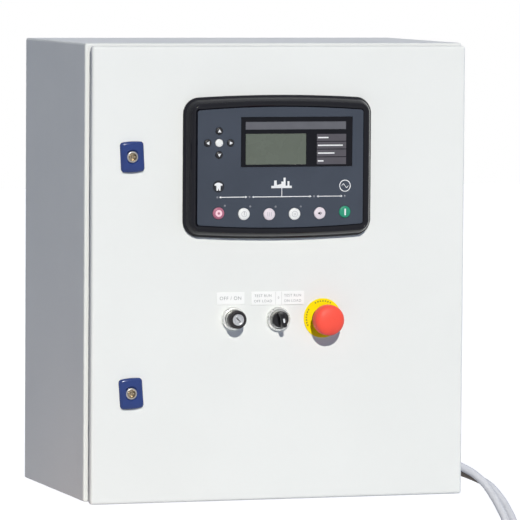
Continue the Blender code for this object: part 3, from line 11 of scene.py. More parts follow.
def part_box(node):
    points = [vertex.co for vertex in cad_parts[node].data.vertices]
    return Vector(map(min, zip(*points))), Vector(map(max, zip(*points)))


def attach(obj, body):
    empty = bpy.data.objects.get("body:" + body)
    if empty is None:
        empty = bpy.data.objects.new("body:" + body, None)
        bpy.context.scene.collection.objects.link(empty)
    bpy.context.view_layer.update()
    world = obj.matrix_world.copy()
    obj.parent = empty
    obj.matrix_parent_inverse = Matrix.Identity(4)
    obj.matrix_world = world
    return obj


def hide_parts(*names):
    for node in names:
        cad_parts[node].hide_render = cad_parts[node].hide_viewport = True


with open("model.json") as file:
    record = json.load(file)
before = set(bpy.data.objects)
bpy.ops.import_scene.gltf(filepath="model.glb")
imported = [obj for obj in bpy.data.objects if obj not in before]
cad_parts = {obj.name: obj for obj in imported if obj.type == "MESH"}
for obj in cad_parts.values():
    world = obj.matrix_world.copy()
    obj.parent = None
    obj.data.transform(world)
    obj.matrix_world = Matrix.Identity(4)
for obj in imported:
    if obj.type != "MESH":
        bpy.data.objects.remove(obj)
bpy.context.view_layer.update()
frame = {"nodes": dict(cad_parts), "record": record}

MM = 0.001
GAP = 0.3  # millimetres between touching pieces, as in the CAD
DOOR_Y = -300.0  # the door's front face

# Places on the door in millimetres: x, z
CONTROLLER = (-3.6, 132.3)
KEY_SWITCH = (-60.7, -58.5)
SELECTOR = (-0.7, -60.0)
ESTOP = (59.3, -61.0)
LOCKS = {"upper": (-194.5, 146.2, 3.0), "lower": (-194.5, -150.2, 4.0)}  # and the cover's tilt
SEAT = 14.9  # the plate under the overlay, out of the door
FACIA_TOP = 16.0
PRINT = 0.06  # how thick the prints are
LETTER_RISE = 0.05  # half the letters' thickness
RIGHT_WALL = 250.0  # the enclosure's outer face, at X


# Objects


def link(name, data, matrix=None):
    made = bpy.data.objects.new(name, data)
    if matrix:
        made.matrix_world = matrix
    bpy.context.scene.collection.objects.link(made)
    return made


def on_door(x, z, w=0.0):
    """The frame at a place on the door: its X and Y lie in the door, and its Z points out of it."""
    return Matrix.Translation((x * MM, (DOOR_Y - w) * MM, z * MM)) @ Matrix.Rotation(math.pi / 2, 4, "X")


def finished(name, form, matrix=None, smooth=35):
    """The bmesh, in millimetres, as an object in metres."""
    bmesh.ops.recalc_face_normals(form, faces=form.faces)
    bmesh.ops.scale(form, vec=(MM, MM, MM), verts=form.verts)
    mesh = bpy.data.meshes.new(name)
    form.to_mesh(mesh)
    form.free()
    if smooth:
        mesh.shade_smooth()
        mesh.set_sharp_from_angle(angle=math.radians(smooth))
    return link(name, mesh, matrix)


def boxes(name, size, centres, matrix=None, edge=0.0):
    form = bmesh.new()
    for centre in centres:
        bmesh.ops.create_cube(form, size=1, matrix=Matrix.Translation(centre) @ Matrix.Diagonal((*size, 1)))
    if edge:
        bmesh.ops.bevel(form, geom=form.edges, offset=edge, segments=2, profile=0.5, affect="EDGES")
    return finished(name, form, matrix)


def turned(name, profile, matrix=None, steps=64, smooth=35, places=((0, 0),)):
    """A profile of (radius, height) turned about Z, once at each place."""
    form = bmesh.new()
    for px, py in places:
        rings = []
        for radius, height in profile:
            if radius < 1e-6:
                rings.append([form.verts.new((px, py, height))])
                continue
            rings.append([form.verts.new((x, y, height)) for x, y in circle(radius, px, py, steps)])
        for above, below in zip(rings, rings[1:]):
            for i in range(steps):
                j = (i + 1) % steps
                corners = [row[k % len(row)] for row, k in ((above, i), (above, j), (below, j), (below, i))]
                kept = list(dict.fromkeys(corners))
                if len(kept) > 2:
                    form.faces.new(kept)
    return finished(name, form, matrix, smooth)


def ring_loft(name, sections, matrix=None, smooth=40, capped=True):
    """A skin through closed loops of as many (x, y, z) points each."""
    form = bmesh.new()
    loops = [[form.verts.new(p) for p in section] for section in sections]
    for below, above in zip(loops, loops[1:]):
        for i, first in enumerate(below):
            j = (i + 1) % len(below)
            form.faces.new((first, below[j], above[j], above[i]))
    if capped:
        form.faces.new(loops[0])
        form.faces.new(loops[-1])
    return finished(name, form, matrix, smooth)


def flat(name, outlines, low, high, matrix=None, bevel=0.0):
    """Flat outlines in millimetres, the inner ones holes, from low to high."""
    curve = bpy.data.curves.new(name, "CURVE")
    curve.dimensions = "2D"
    curve.fill_mode = "BOTH"
    curve.extrude = max((high - low) / 2 - bevel, 0) * MM
    curve.bevel_depth = bevel * MM
    curve.bevel_resolution = 1
    curve.offset = -bevel * MM
    for outline in outlines:
        spline = curve.splines.new("POLY")
        spline.points.add(len(outline) - 1)
        spline.use_cyclic_u = True
        for point, (x, y) in zip(spline.points, outline):
            point.co = (x * MM, y * MM, 0, 1)
    lift = Matrix.Translation((0, 0, (low + high) / 2 * MM))
    return link(name, curve, (matrix or Matrix()) @ lift)


def lettering(name, body, size, matrix, x=0.0, y=0.0, spacing=1.0):
    text = bpy.data.curves.new(name, "FONT")
    text.body = body
    text.size = size * MM
    text.extrude = LETTER_RISE * MM
    text.align_x = "CENTER"
    text.align_y = "CENTER"
    text.space_character = spacing
    text.resolution_u = 3
    return link(name, text, matrix @ Matrix.Translation((x * MM, y * MM, 0)))


def arched_outline(width, height, radius, arch=0.0, corner_steps=8, arch_steps=12):
    """A rounded rectangle whose top and bottom edges bow out by arch at their middle."""
    half_w = width / 2
    half_h = height / 2 - arch
    points = []
    for corner, (sign_x, sign_y) in enumerate(((1, 1), (-1, 1), (-1, -1), (1, -1))):
        centre = Vector((sign_x * (half_w - radius), sign_y * (half_h - radius)))
        for i in range(corner_steps + 1):
            angle = math.pi / 2 * (corner + i / corner_steps)
            points.append(centre + radius * Vector((math.cos(angle), math.sin(angle))))
        if corner in (0, 2):
            run = 2 * (half_w - radius)
            for i in range(1, arch_steps):
                points.append(points[-1] - Vector((sign_x * run / arch_steps, 0)))
    bow = [arch * (1 - (p.x / half_w) ** 2) for p in points]
    return [(p.x, p.y + math.copysign(b, p.y)) for p, b in zip(points, bow)]


def circle(radius, x=0.0, y=0.0, sides=40):
    turns = [2 * math.pi * i / sides for i in range(sides)]
    return [(x + radius * math.cos(a), y + radius * math.sin(a)) for a in turns]


def bar(x0, y0, x1, y1):
    return [(x0, y0), (x1, y0), (x1, y1), (x0, y1)]


# Materials


def map_range(tree, value, low, high, start, end):
    """Maps a value's stretch from start to end onto low to high."""
    made = tree.nodes.new("ShaderNodeMapRange")
    for socket, number in (("From Min", start), ("From Max", end), ("To Min", low), ("To Max", high)):
        made.inputs[socket].default_value = number
    tree.links.new(value, made.inputs["Value"])
    return made.outputs["Result"]


class Paint:
    """A Principled material whose colour, roughness and relief come from procedural textures."""

    def __init__(self, name, colour, rough, metallic=0.0, coat=0.0, specular=0.5):
        self.made = bpy.data.materials.new(name)
        self.made.use_nodes = True
        self.tree = self.made.node_tree
        self.shader = self.tree.nodes["Principled BSDF"]
        self.colour = colour
        self.rough = rough
        self.shader.inputs["Base Color"].default_value = (*colour, 1)
        self.shader.inputs["Roughness"].default_value = rough
        self.shader.inputs["Metallic"].default_value = metallic
        self.shader.inputs["Specular IOR Level"].default_value = specular
        self.shader.inputs["Coat Weight"].default_value = coat
        self.shader.inputs["Coat Roughness"].default_value = 0.05
        self.place = self.node("ShaderNodeTexCoord").outputs["Object"]
        self.normal = None  # the last relief, on which the next one is laid

    def node(self, kind, **values):
        made = self.tree.nodes.new(kind)
        for key, value in values.items():
            setattr(made, key, value)
        return made

    def wire(self, a, b):
        self.tree.links.new(a, b)

    def feed(self, socket, value):
        self.wire(value, self.shader.inputs[socket])

    def stretched(self, scale):
        mapping = self.node("ShaderNodeMapping")
        mapping.inputs["Scale"].default_value = scale
        self.wire(self.place, mapping.inputs["Vector"])
        return mapping.outputs["Vector"]

    def noise(self, scale, detail=4.0, rough=0.55, stretch=None):
        made = self.node("ShaderNodeTexNoise")
        made.inputs["Scale"].default_value = scale
        made.inputs["Detail"].default_value = detail
        made.inputs["Roughness"].default_value = rough
        self.wire(self.stretched(stretch) if stretch else self.place, made.inputs["Vector"])
        return made.outputs["Fac"]

    def ramp(self, value, low, high, start=0.35, end=0.65):
        return map_range(self.tree, value, low, high, start, end)

    def mixed(self, fac, a, b):
        made = self.node("ShaderNodeMix", data_type="RGBA")
        self.wire(fac, made.inputs["Factor"])
        for socket, value in ((6, a), (7, b)):
            if isinstance(value, tuple):
                made.inputs[socket].default_value = (*value, 1)
            else:
                self.wire(value, made.inputs[socket])
        return made.outputs[2]

    def tone(self, scale, vary, stretch=None):
        """Colour that drifts a little lighter and darker."""
        dark = tuple(c * (1 - vary) for c in self.colour)
        light = tuple(min(1, c * (1 + vary)) for c in self.colour)
        fac = self.ramp(self.noise(scale, stretch=stretch), 0, 1)
        self.feed("Base Color", self.mixed(fac, dark, light))

    def sheen(self, scale, vary, stretch=None):
        """Roughness that drifts, as handled or weathered surfaces show."""
        low = max(0.02, self.rough - vary)
        self.feed("Roughness", self.ramp(self.noise(scale, stretch=stretch), low, self.rough + vary))

    def grain(self, scale, distance, stretch=None, detail=2.0):
        """Fine relief, up to distance in millimetres."""
        height = self.noise(scale, detail, stretch=stretch)
        made = self.node("ShaderNodeBump")
        made.inputs["Distance"].default_value = distance * MM
        made.inputs["Strength"].default_value = 1.0
        self.wire(height, made.inputs["Height"])
        if self.normal:
            self.wire(self.normal, made.inputs["Normal"])
        self.normal = made.outputs["Normal"]
        self.feed("Normal", self.normal)


def powder_coat():
    """Light grey powder coat: an orange-peel skin, a little dust and faint handling marks."""
    paint = Paint("light_grey_powder_coat", (0.805, 0.822, 0.805), 0.42, specular=0.02)
    drift = paint.ramp(paint.noise(5.0, 5), 0, 1)
    base = paint.mixed(drift, (0.795, 0.812, 0.796), (0.815, 0.832, 0.816))
    dust = paint.ramp(paint.noise(230.0, 6, 0.7), 0, 0.05, 0.55, 0.75)
    paint.feed("Base Color", paint.mixed(dust, base, (0.55, 0.54, 0.50)))
    paint.sheen(9.0, 0.05)
    paint.grain(900.0, 0.035)
    return paint.made


def galvanised():
    """Zinc with its spangle."""
    paint = Paint("galvanised_sheet", (0.60, 0.62, 0.64), 0.38, 0.85)
    cells = paint.node("ShaderNodeTexVoronoi")
    cells.inputs["Scale"].default_value = 90.0
    paint.wire(paint.place, cells.inputs["Vector"])
    spangle = paint.node("ShaderNodeSeparateColor")
    paint.wire(cells.outputs["Color"], spangle.inputs["Color"])
    paint.feed("Base Color", paint.mixed(spangle.outputs[0], (0.50, 0.52, 0.54), (0.68, 0.70, 0.72)))
    paint.feed("Roughness", paint.ramp(spangle.outputs[1], 0.30, 0.46, 0, 1))
    paint.grain(400.0, 0.03)
    return paint.made


def metal(name, colour, rough, stretch=(1, 1, 1), coarse=500.0, relief=0.01, metallic=1.0):
    """Plated or brushed metal with fine streaks."""
    paint = Paint(name, colour, rough, metallic)
    paint.tone(coarse, 0.08, stretch)
    paint.sheen(coarse / 3, 0.07, stretch)
    paint.grain(coarse * 3, relief, stretch)
    return paint.made


def plastic(name, colour, rough, coat=0.0, grain=0.012, grain_scale=1800.0, vary=0.06, specular=0.3):
    """Moulded plastic: a fine spark-eroded grain and a slightly uneven gloss."""
    paint = Paint(name, colour, rough, 0.0, coat, specular)
    paint.tone(60.0, vary)
    paint.sheen(120.0, 0.06)
    paint.grain(grain_scale, grain)
    return paint.made


def foam():
    paint = Paint("black_foam", (0.028, 0.028, 0.030), 0.9)
    paint.tone(300.0, 0.35)
    paint.sheen(200.0, 0.05)
    paint.grain(1400.0, 0.35, detail=5)
    return paint.made


def facia_print():
    """The overlay's fine-textured polyester, printed slate."""
    paint = Paint("slate_facia", (0.054, 0.065, 0.087), 0.48, specular=0.12)
    paint.tone(14.0, 0.06)
    paint.sheen(30.0, 0.05)
    paint.grain(5200.0, 0.02)
    return paint.made


def liquid_crystal():
    """An unlit liquid crystal panel: grey-green with a faintly drifting tint and a faint dot grid."""
    paint = Paint("liquid_crystal", (0.117, 0.136, 0.112), 0.28, specular=0.2)
    grid = paint.node("ShaderNodeTexBrick")
    grid.offset = 0.0
    grid.inputs["Scale"].default_value = 1.0
    grid.inputs["Mortar Size"].default_value = 0.00006
    grid.inputs["Brick Width"].default_value = 0.0006
    grid.inputs["Row Height"].default_value = 0.0006
    split = paint.node("ShaderNodeSeparateXYZ")
    join = paint.node("ShaderNodeCombineXYZ")
    paint.wire(paint.place, split.inputs[0])
    paint.wire(split.outputs["X"], join.inputs["X"])
    paint.wire(split.outputs["Z"], join.inputs["Y"])
    paint.wire(join.outputs[0], grid.inputs["Vector"])
    wash = paint.ramp(paint.noise(28.0, 2), 0, 1)
    base = paint.mixed(wash, (0.116, 0.135, 0.110), (0.123, 0.143, 0.118))
    lines = paint.ramp(grid.outputs["Fac"], 0, 0.12, 0, 1)
    paint.feed("Base Color", paint.mixed(lines, base, (0.08, 0.09, 0.07)))
    paint.sheen(50.0, 0.04)
    return paint.made


def cable_sheath(name, painted_shade=False):
    """PVC sheath: uneven, with faint lengthwise marks and dust, and, where asked, painted shade by the wall.
    """
    paint = Paint(name, (0.62, 0.63, 0.66), 0.42, specular=0.25)
    drift = paint.ramp(paint.noise(22.0, 5), 0, 1)
    base = paint.mixed(drift, (0.58, 0.59, 0.62), (0.66, 0.67, 0.70))
    # Painted shade: dark brown over the first stretch out of the wall, where the front cable shades the rear
    # one
    if painted_shade:
        split = paint.node("ShaderNodeSeparateXYZ")
        paint.wire(paint.place, split.inputs[0])
        base = paint.mixed(paint.ramp(split.outputs["X"], 1, 0, 0.328, 0.346), base, (0.20, 0.165, 0.135))
    marks = paint.ramp(paint.noise(160.0, 4, 0.7, (1, 1, 0.12)), 0, 0.25, 0.52, 0.8)
    paint.feed("Base Color", paint.mixed(marks, base, (0.34, 0.33, 0.33)))
    paint.sheen(60.0, 0.08)
    paint.grain(700.0, 0.05)
    paint.grain(60.0, 0.15)
    return paint.made


MATERIALS = {
    "paint": powder_coat(),
    "galvanised": galvanised(),
    "bright_steel": metal("zinc_plated_steel", (0.62, 0.62, 0.60), 0.3, (1, 1, 0.1)),
    "chrome": metal("chrome_plate", (0.80, 0.80, 0.80), 0.14, coarse=240.0, relief=0.02),
    "foam": foam(),
    "blue_plastic": plastic("blue_gloss", (0.018, 0.042, 0.178), 0.2, grain=0.006),
    "black_plastic": plastic("black_satin", (0.014, 0.0145, 0.018), 0.34),
    "slate_facia": facia_print(),
    "window_black": plastic(
        "window_black", (0.006, 0.0065, 0.010), 0.16, grain=0.002, grain_scale=900.0, specular=0.12
    ),
    "lcd": liquid_crystal(),
    "white_plastic": plastic("white_satin", (0.80, 0.81, 0.80), 0.38, vary=0.02),
    "red_plastic": plastic("red_satin", (0.93, 0.090, 0.057), 0.5, vary=0.03),
    "green_plastic": plastic("green_satin", (0.022, 0.265, 0.16), 0.4),
    "pink_plastic": plastic("pale_pink_satin", (0.74, 0.67, 0.72), 0.4, vary=0.03),
    "yellow_label": plastic("yellow_laminate", (0.95, 0.78, 0.004), 0.42, vary=0.03, specular=0.1),
    "grey_plastic": plastic("grey_satin", (0.27, 0.28, 0.29), 0.45),
    "device_ring": plastic("ring_white", (0.66, 0.66, 0.64), 0.22, coat=0.4, grain=0.004),
    "cable_grey": cable_sheath("cable_sheath"),
}
# The rear cable's sheath has painted shade near the wall
SHEATHS = {"front": MATERIALS["cable_grey"], "rear": cable_sheath("cable_sheath_painted_shade", True)}
COPPER = metal("bare_copper", (0.72, 0.38, 0.22), 0.35, (1, 1, 0.2), coarse=300.0)
INK_WHITE = plastic("white_ink", (0.80, 0.81, 0.82), 0.5, grain=0.004, vary=0.03)
INK_BLACK = plastic("dark_ink", (0.022, 0.024, 0.030), 0.5, grain=0.004, vary=0.08, specular=0.15)
INK_GREY = plastic("grey_ink", (0.105, 0.108, 0.125), 0.5, grain=0.004, vary=0.05)
INK_PINK = plastic("pink_ink", (0.94, 0.63, 0.70), 0.5, grain=0.004, vary=0.03)
LED_DARK = plastic("led_unlit", (0.20, 0.21, 0.24), 0.25, grain=0.004)
KEY_RED = plastic("key_red", (0.41, 0.14, 0.21), 0.36)
BEZEL_BLACK = plastic("bezel_black", (0.0068, 0.0072, 0.0115), 0.13, grain=0.0003, specular=0.18)
CARD_GREY = plastic("card_grey", (0.075, 0.071, 0.085), 0.5, grain=0.004)
SYMBOL_GREY = plastic("symbol_grey", (0.42, 0.42, 0.45), 0.5, grain=0.004, vary=0.05)
SILVER = metal("satin_chrome", (0.72, 0.73, 0.71), 0.28, coarse=260.0, metallic=0.7)
BARREL_STEEL = metal("barrel_steel", (0.46, 0.47, 0.49), 0.32, coarse=260.0)
LOCK_STEEL = metal("lock_steel", (0.36, 0.35, 0.34), 0.34, coarse=260.0, relief=0.02)
BRASS = metal("lock_brass", (0.32, 0.265, 0.19), 0.26, coarse=300.0, relief=0.02)
MARK_OLIVE = plastic("mark_olive", (0.34, 0.29, 0.02), 0.5, grain=0.004)
KEY_COLLAR = plastic("key_collar", (0.036, 0.033, 0.036), 0.38, specular=0.1)
KNOB_BLACK = plastic("knob_black", (0.006, 0.006, 0.008), 0.16, grain=0.004)
LABEL_WHITE = plastic("label_white", (0.90, 0.91, 0.90), 0.45, grain=0.004, vary=0.012)
INK_LABEL = plastic("label_ink", (0.30, 0.31, 0.32), 0.5, grain=0.003)
INK_PALE = plastic("label_line", (0.62, 0.63, 0.62), 0.5, grain=0.003)


def dressed(piece, body, slot, material=None):
    """Gives a piece its body and the material of the named finish, or a material of its own."""
    piece.data.materials.clear()
    piece.data.materials.append(material or MATERIALS[slot])
    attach(piece, body)


def dress_nodes():
    """Gives each of the CAD's nodes the material of its finish in the record."""
    slots = {entry["node"]: entry["material_slot"] for entry in frame["record"]["subparts"]}
    for name, node in frame["nodes"].items():
        made = MATERIALS[slots[name]]
        if not node.data.materials:
            node.data.materials.append(made)
        for i in range(len(node.data.materials)):
            node.data.materials[i] = made


# Camera


SENSOR = 36.0  # millimetres
FOCAL_LENGTH = 4850.0 / 520.0  # in widths of the picture
CAMERA_PLACE = (-1.907, -6.099, 0.4325)
YAW, PITCH, ROLL = -17.98, -3.92, 0.39  # degrees


def camera():
    """The photograph's view: a long lens, from the front and a little to the left."""
    data = bpy.data.cameras.new("camera")
    data.sensor_width = SENSOR
    data.lens = SENSOR * FOCAL_LENGTH
    data.clip_end = 100.0
    turn = (
        Matrix.Rotation(math.radians(YAW), 4, "Z")
        @ Matrix.Rotation(math.radians(90 + PITCH), 4, "X")
        @ Matrix.Rotation(math.radians(ROLL), 4, "Z")
    )
    bpy.context.scene.camera = link("camera", data, Matrix.Translation(CAMERA_PLACE) @ turn)


# Cables


CABLE_RADIUS = 5.25
CABLE_START = 19.6  # inside the gland's dome, out of the wall
STRIPPED = 12.0  # how much of a cable's end has lost its sheath
CORE_CIRCLE = 2.0  # on which the three cores lie
GLANDS = {"front": (-161.5, -265.0), "rear": (-134.5, -272.0)}  # y, z
# The cables' routes from the wall at their glands
CABLES = {
    "front": [
        (28.6, 0, 0), (34, 0.8, -0.6), (43, 2.8, -3), (52.6, 4.9, -7.4), (61.5, 6, -11.9),
        (70.4, 6.5, -17.3), (84.2, 6.3, -29.3), (96.2, 5.5, -45.8), (107, 4.5, -64.7), (113.9, 3.5, -79.2),
        (120, 2.5, -97), (125.5, 1.5, -122), (129.5, 0.5, -157), (131.5, -0.5, -205), (131.5, -1.5, -270),
        (130.5, -2, -345),
    ],
    "rear": [
        (28.6, 0, 0), (34, -0.8, -0.6), (43, -2.6, -2.9), (52, -4.6, -6.4), (61.2, -5.8, -10.2),
        (76.4, -6.8, -16.4), (90.9, -6.2, -23.4), (102.6, -5, -32.1), (116.2, -3.3, -47.7),
        (124.4, -2.3, -60.1), (132.5, -1.6, -75.5), (140.5, -1, -95), (147.5, -0.8, -123), (152, -1, -161),
        (154.5, -1.5, -209), (154.5, -2.5, -259), (153.5, -3.5, -318),
    ],
}


def smooth_route(points, steps=6):
    """Catmull-Rom points through the given ones."""
    points = [Vector(p) for p in points]
    ends = [2 * points[0] - points[1]] + points + [2 * points[-1] - points[-2]]
    fine = []
    for a, b, c, d in zip(ends, ends[1:], ends[2:], ends[3:]):
        for i in range(steps):
            t = i / steps
            bend = (2 * a - 5 * b + 4 * c - d) * t**2 + (3 * b - a - 3 * c + d) * t**3
            fine.append(0.5 * (2 * b + (c - a) * t + bend))
    return fine + [points[-1]]


def cable_cores(side, end, ahead):
    """The stripped end: black cores with their copper showing."""
    place = Matrix.Translation(end * MM) @ ahead.to_track_quat("Z", "Y").to_matrix().to_4x4()
    turns = [0.3 + math.pi * i / 3 for i in (0, 2, 4)]
    spots = [(CORE_CIRCLE * math.cos(a), CORE_CIRCLE * math.sin(a)) for a in turns]
    sleeve = [(0, -3), (1.5, -3), (1.5, 7), (1.3, 7.3), (0, 7.3)]
    cores = turned(f"cable_cores_{side}", sleeve, place, 20, 40, spots)
    dressed(cores, "enclosure", "black_plastic")
    wire = [(0, 7), (0.75, 7), (0.75, 11.2), (0.6, 11.5), (0, 11.5)]
    copper = turned(f"cable_copper_{side}", wire, place, 12, 40, spots)
    dressed(copper, "enclosure", "chrome", COPPER)
    return [cores, copper]


def cable(side):
    """The free cable as a tube along its route, with its cores at its far end."""
    line = [Vector((CABLE_START, 0, 0))] + smooth_route(CABLES[side])
    ahead = (line[-1] - line[-2]).normalized()
    line[-1] -= STRIPPED * ahead
    curve = bpy.data.curves.new(f"cable_sheath_{side}", "CURVE")
    curve.dimensions = "3D"
    curve.bevel_depth = CABLE_RADIUS * MM
    curve.bevel_resolution = 6
    curve.use_fill_caps = True
    spline = curve.splines.new("POLY")
    spline.points.add(len(line) - 1)
    place = Vector((RIGHT_WALL, *GLANDS[side]))
    for point, p in zip(spline.points, line):
        point.co = (*((place + p) * MM), 1)
    made = link(f"cable_sheath_{side}", curve)
    dressed(made, "enclosure", "cable_grey", SHEATHS[side])
    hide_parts(f"cable_{side}")
    ends = cable_cores(side, place + line[-1], ahead)


# The controller


# All in millimetres from the controller's middle
NAV_X, NAV_Y, NAV_PITCH = -81.3, 31.0, 15.0  # the middle key, and the others' distance from it
FUNCTION_KEYS = (
    ("stop", "red"), ("manual", "white"), ("test", "pink"),
    ("auto", "white"), ("mute", "pink"), ("start", "green"),
)
ROW_X, ROW_Y, ROW_PITCH = 1.9, -57.1, 33.44  # the row's middle, its ends' height and its step
ROW_BOW = 2.0  # how far the row bows down at its middle
# The keys: x, y, radius and finish
BUTTONS = {
    "nav_button_centre": (NAV_X, NAV_Y, 5.0, "white_plastic"),
    "nav_button_up": (NAV_X, NAV_Y + NAV_PITCH, 4.5, "black_plastic"),
    "nav_button_down": (NAV_X, NAV_Y - NAV_PITCH, 4.5, "black_plastic"),
    "nav_button_left": (NAV_X - NAV_PITCH, NAV_Y, 4.5, "black_plastic"),
    "nav_button_right": (NAV_X + NAV_PITCH, NAV_Y, 4.5, "black_plastic"),
}
for rank, (key_name, key_colour) in enumerate(FUNCTION_KEYS):
    key_x = ROW_X + ROW_PITCH * (rank - 2.5)
    key_y = ROW_Y - ROW_BOW * (1 - (rank / 2.5 - 1) ** 2)
    BUTTONS[f"button_{key_name}"] = (key_x, key_y, 7.5, f"{key_colour}_plastic")
BUTTON_TOP = FACIA_TOP + 1.5
BUTTON_CLEARANCE = 0.35
WINDOW = (21.2, 31.9, 147.0, 62.3)  # x, y, width, height
LCD = (-6.4, 22.9, 79.6, 38.6)
STRIP_PITCH = 9.8  # of the four cards beside the display
BEZEL_WIDTH, BEZEL_HEIGHT, BEZEL_BOW = 248.4, 181.1, 4.2
BEZEL_CORNERS = (19.5, 3.0)  # the rim's outer and inner corner radius
RIM_WIDTH, RIM_HEIGHT = 29.0, 28.8  # what the rim takes of the bezel's width and height
RIM_TOP = 18.5
# The rim's section: shares of the way in, and heights out of the door
RIM_FOOT = [
    (0, GAP), (0, 2.9), (0.012, 3.2), (0.07, 4.6), (0.10, 5.0), (0.18, 5.6), (0.205, 6.2), (0.21, 8.0),
]
RIM_CROWN = [
    (0.21, 8.0), (0.24, 8.9), (0.32, 12.0), (0.42, 15.0), (0.51, 17.2), (0.6, 18.3), (0.67, RIM_TOP),
    (0.75, 17.9), (0.85, 16.8), (0.94, 15.6), (1.0, SEAT),
]


def bezel_outline(share):
    """The rim's outline at a share of the way in."""
    outer, inner = BEZEL_CORNERS
    width, height = BEZEL_WIDTH - RIM_WIDTH * share, BEZEL_HEIGHT - RIM_HEIGHT * share
    return arched_outline(width, height, outer - (outer - inner) * share, BEZEL_BOW, 12, 24)


def opening(plate):
    """The hole for a plate of the given x, y, width and height."""
    x, y, width, height = plate
    reach_x, reach_y = width / 2 + GAP, height / 2 + GAP
    return bar(x - reach_x, y - reach_y, x + reach_x, y + reach_y)


def bezel():
    """The moulded rim, stepped at its foot, and the plate inside it that carries the facia."""
    place = on_door(*CONTROLLER)
    crown = smooth_route([(share, 0, w) for share, w in RIM_CROWN], 3)
    line = RIM_FOOT + [(min(p.x, 1.0), min(p.z, RIM_TOP)) for p in crown[1:]] + [(1, 12.5), (0.75, GAP)]
    sections = [[(x, y, w) for x, y in bezel_outline(share)] for share, w in line]
    rim = ring_loft("bezel_rim", sections + sections[:1], place, 50, capped=False)
    dressed(rim, "door", "black_plastic", BEZEL_BLACK)
    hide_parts("controller_bezel")
    holes = [circle(radius + BUTTON_CLEARANCE, x, y) for x, y, radius, _ in BUTTONS.values()]
    holes.append(opening(WINDOW))
    outer = arched_outline(219, 151.9, 2.8, BEZEL_BOW, 6, 24)
    seat = flat("bezel_seat", [outer] + holes, 12.6, SEAT, place)
    dressed(seat, "door", "black_plastic", BEZEL_BLACK)
    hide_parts("controller_bezel")
    outer = arched_outline(218.8, 151.7, 2.8, BEZEL_BOW, 8, 24)
    facia = flat("facia_overlay", [outer] + holes, SEAT + GAP, FACIA_TOP, place, 0.08)
    dressed(facia, "door", "slate_facia")
    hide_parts("controller_facia")


def display():
    """The black window round the display, its bare header and its four cards."""
    place = on_door(*CONTROLLER)
    low, high = FACIA_TOP, FACIA_TOP + PRINT
    x, y, width, height = WINDOW
    outer = [(x + a, y + b) for a, b in arched_outline(width, height, 1.2, 0, 6, 2)]
    window = flat("window_frame", [outer, opening(LCD)], 12.4, FACIA_TOP, place, 0.15)
    dressed(window, "door", "window_black")
    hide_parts("display_window")
    header = flat("window_header", [bar(-46.6, 47.6, 86.2, 57.2)], low, high, place)
    dressed(header, "door", "grey_plastic", INK_GREY)
    falls = [i * STRIP_PITCH for i in range(4)]
    strips = [bar(47.7, 32.7 - fall, 86.6, 41.5 - fall) for fall in falls]
    cards = flat("window_cards", strips, low, high, place)
    dressed(cards, "door", "grey_plastic", CARD_GREY)
    words = [bar(49, 36.2 - fall, 49 + reach, 37.8 - fall) for fall, reach in zip(falls, (14, 33, 22, 7.5))]
    marks = flat("window_marks", words, high, high + PRINT, place)
    dressed(marks, "door", "white_plastic", INK_WHITE)


def key_caps():
    """The buttons' domed caps, each with its printed symbol, and all travelling with their own body."""
    for name, (x, y, radius, slot) in BUTTONS.items():
        place = on_door(CONTROLLER[0] + x, CONTROLLER[1] + y)
        profile = [(0, BUTTON_TOP)]
        for i in range(1, 9):
            a = math.pi / 2 * i / 8
            profile.append((radius * math.sin(a) ** 0.8, BUTTON_TOP - 1.4 * (1 - math.cos(a) ** 0.7)))
        profile += [(radius, 12), (radius + 1, 12), (radius + 1, 10.6), (0, 10.6)]
        cap = turned(f"cap_{name}", profile, place, 48, 45)
        dressed(cap, name, slot, KEY_PAINTS.get(name))
        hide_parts(name)
        if name in SYMBOLS:
            ink, outlines = SYMBOLS[name]
            mark = flat(f"symbol_{name}", outlines, BUTTON_TOP - 0.12, BUTTON_TOP + 0.05, place)
            dressed(mark, name, "white_plastic", ink)


def ring(outer, inner, x=0.0, y=0.0):
    return [circle(outer, x, y), circle(inner, x, y)]


def arrow(turn, x=0.0, y=0.0, size=1.25):
    """A triangle that points along +X before its turn in degrees."""
    cos, sin = math.cos(math.radians(turn)), math.sin(math.radians(turn))
    points = [(1.9 * size, 0), (-1.3 * size, 1.9 * size), (-1.3 * size, -1.9 * size)]
    return [[(x + px * cos - py * sin, y + px * sin + py * cos) for px, py in points]]


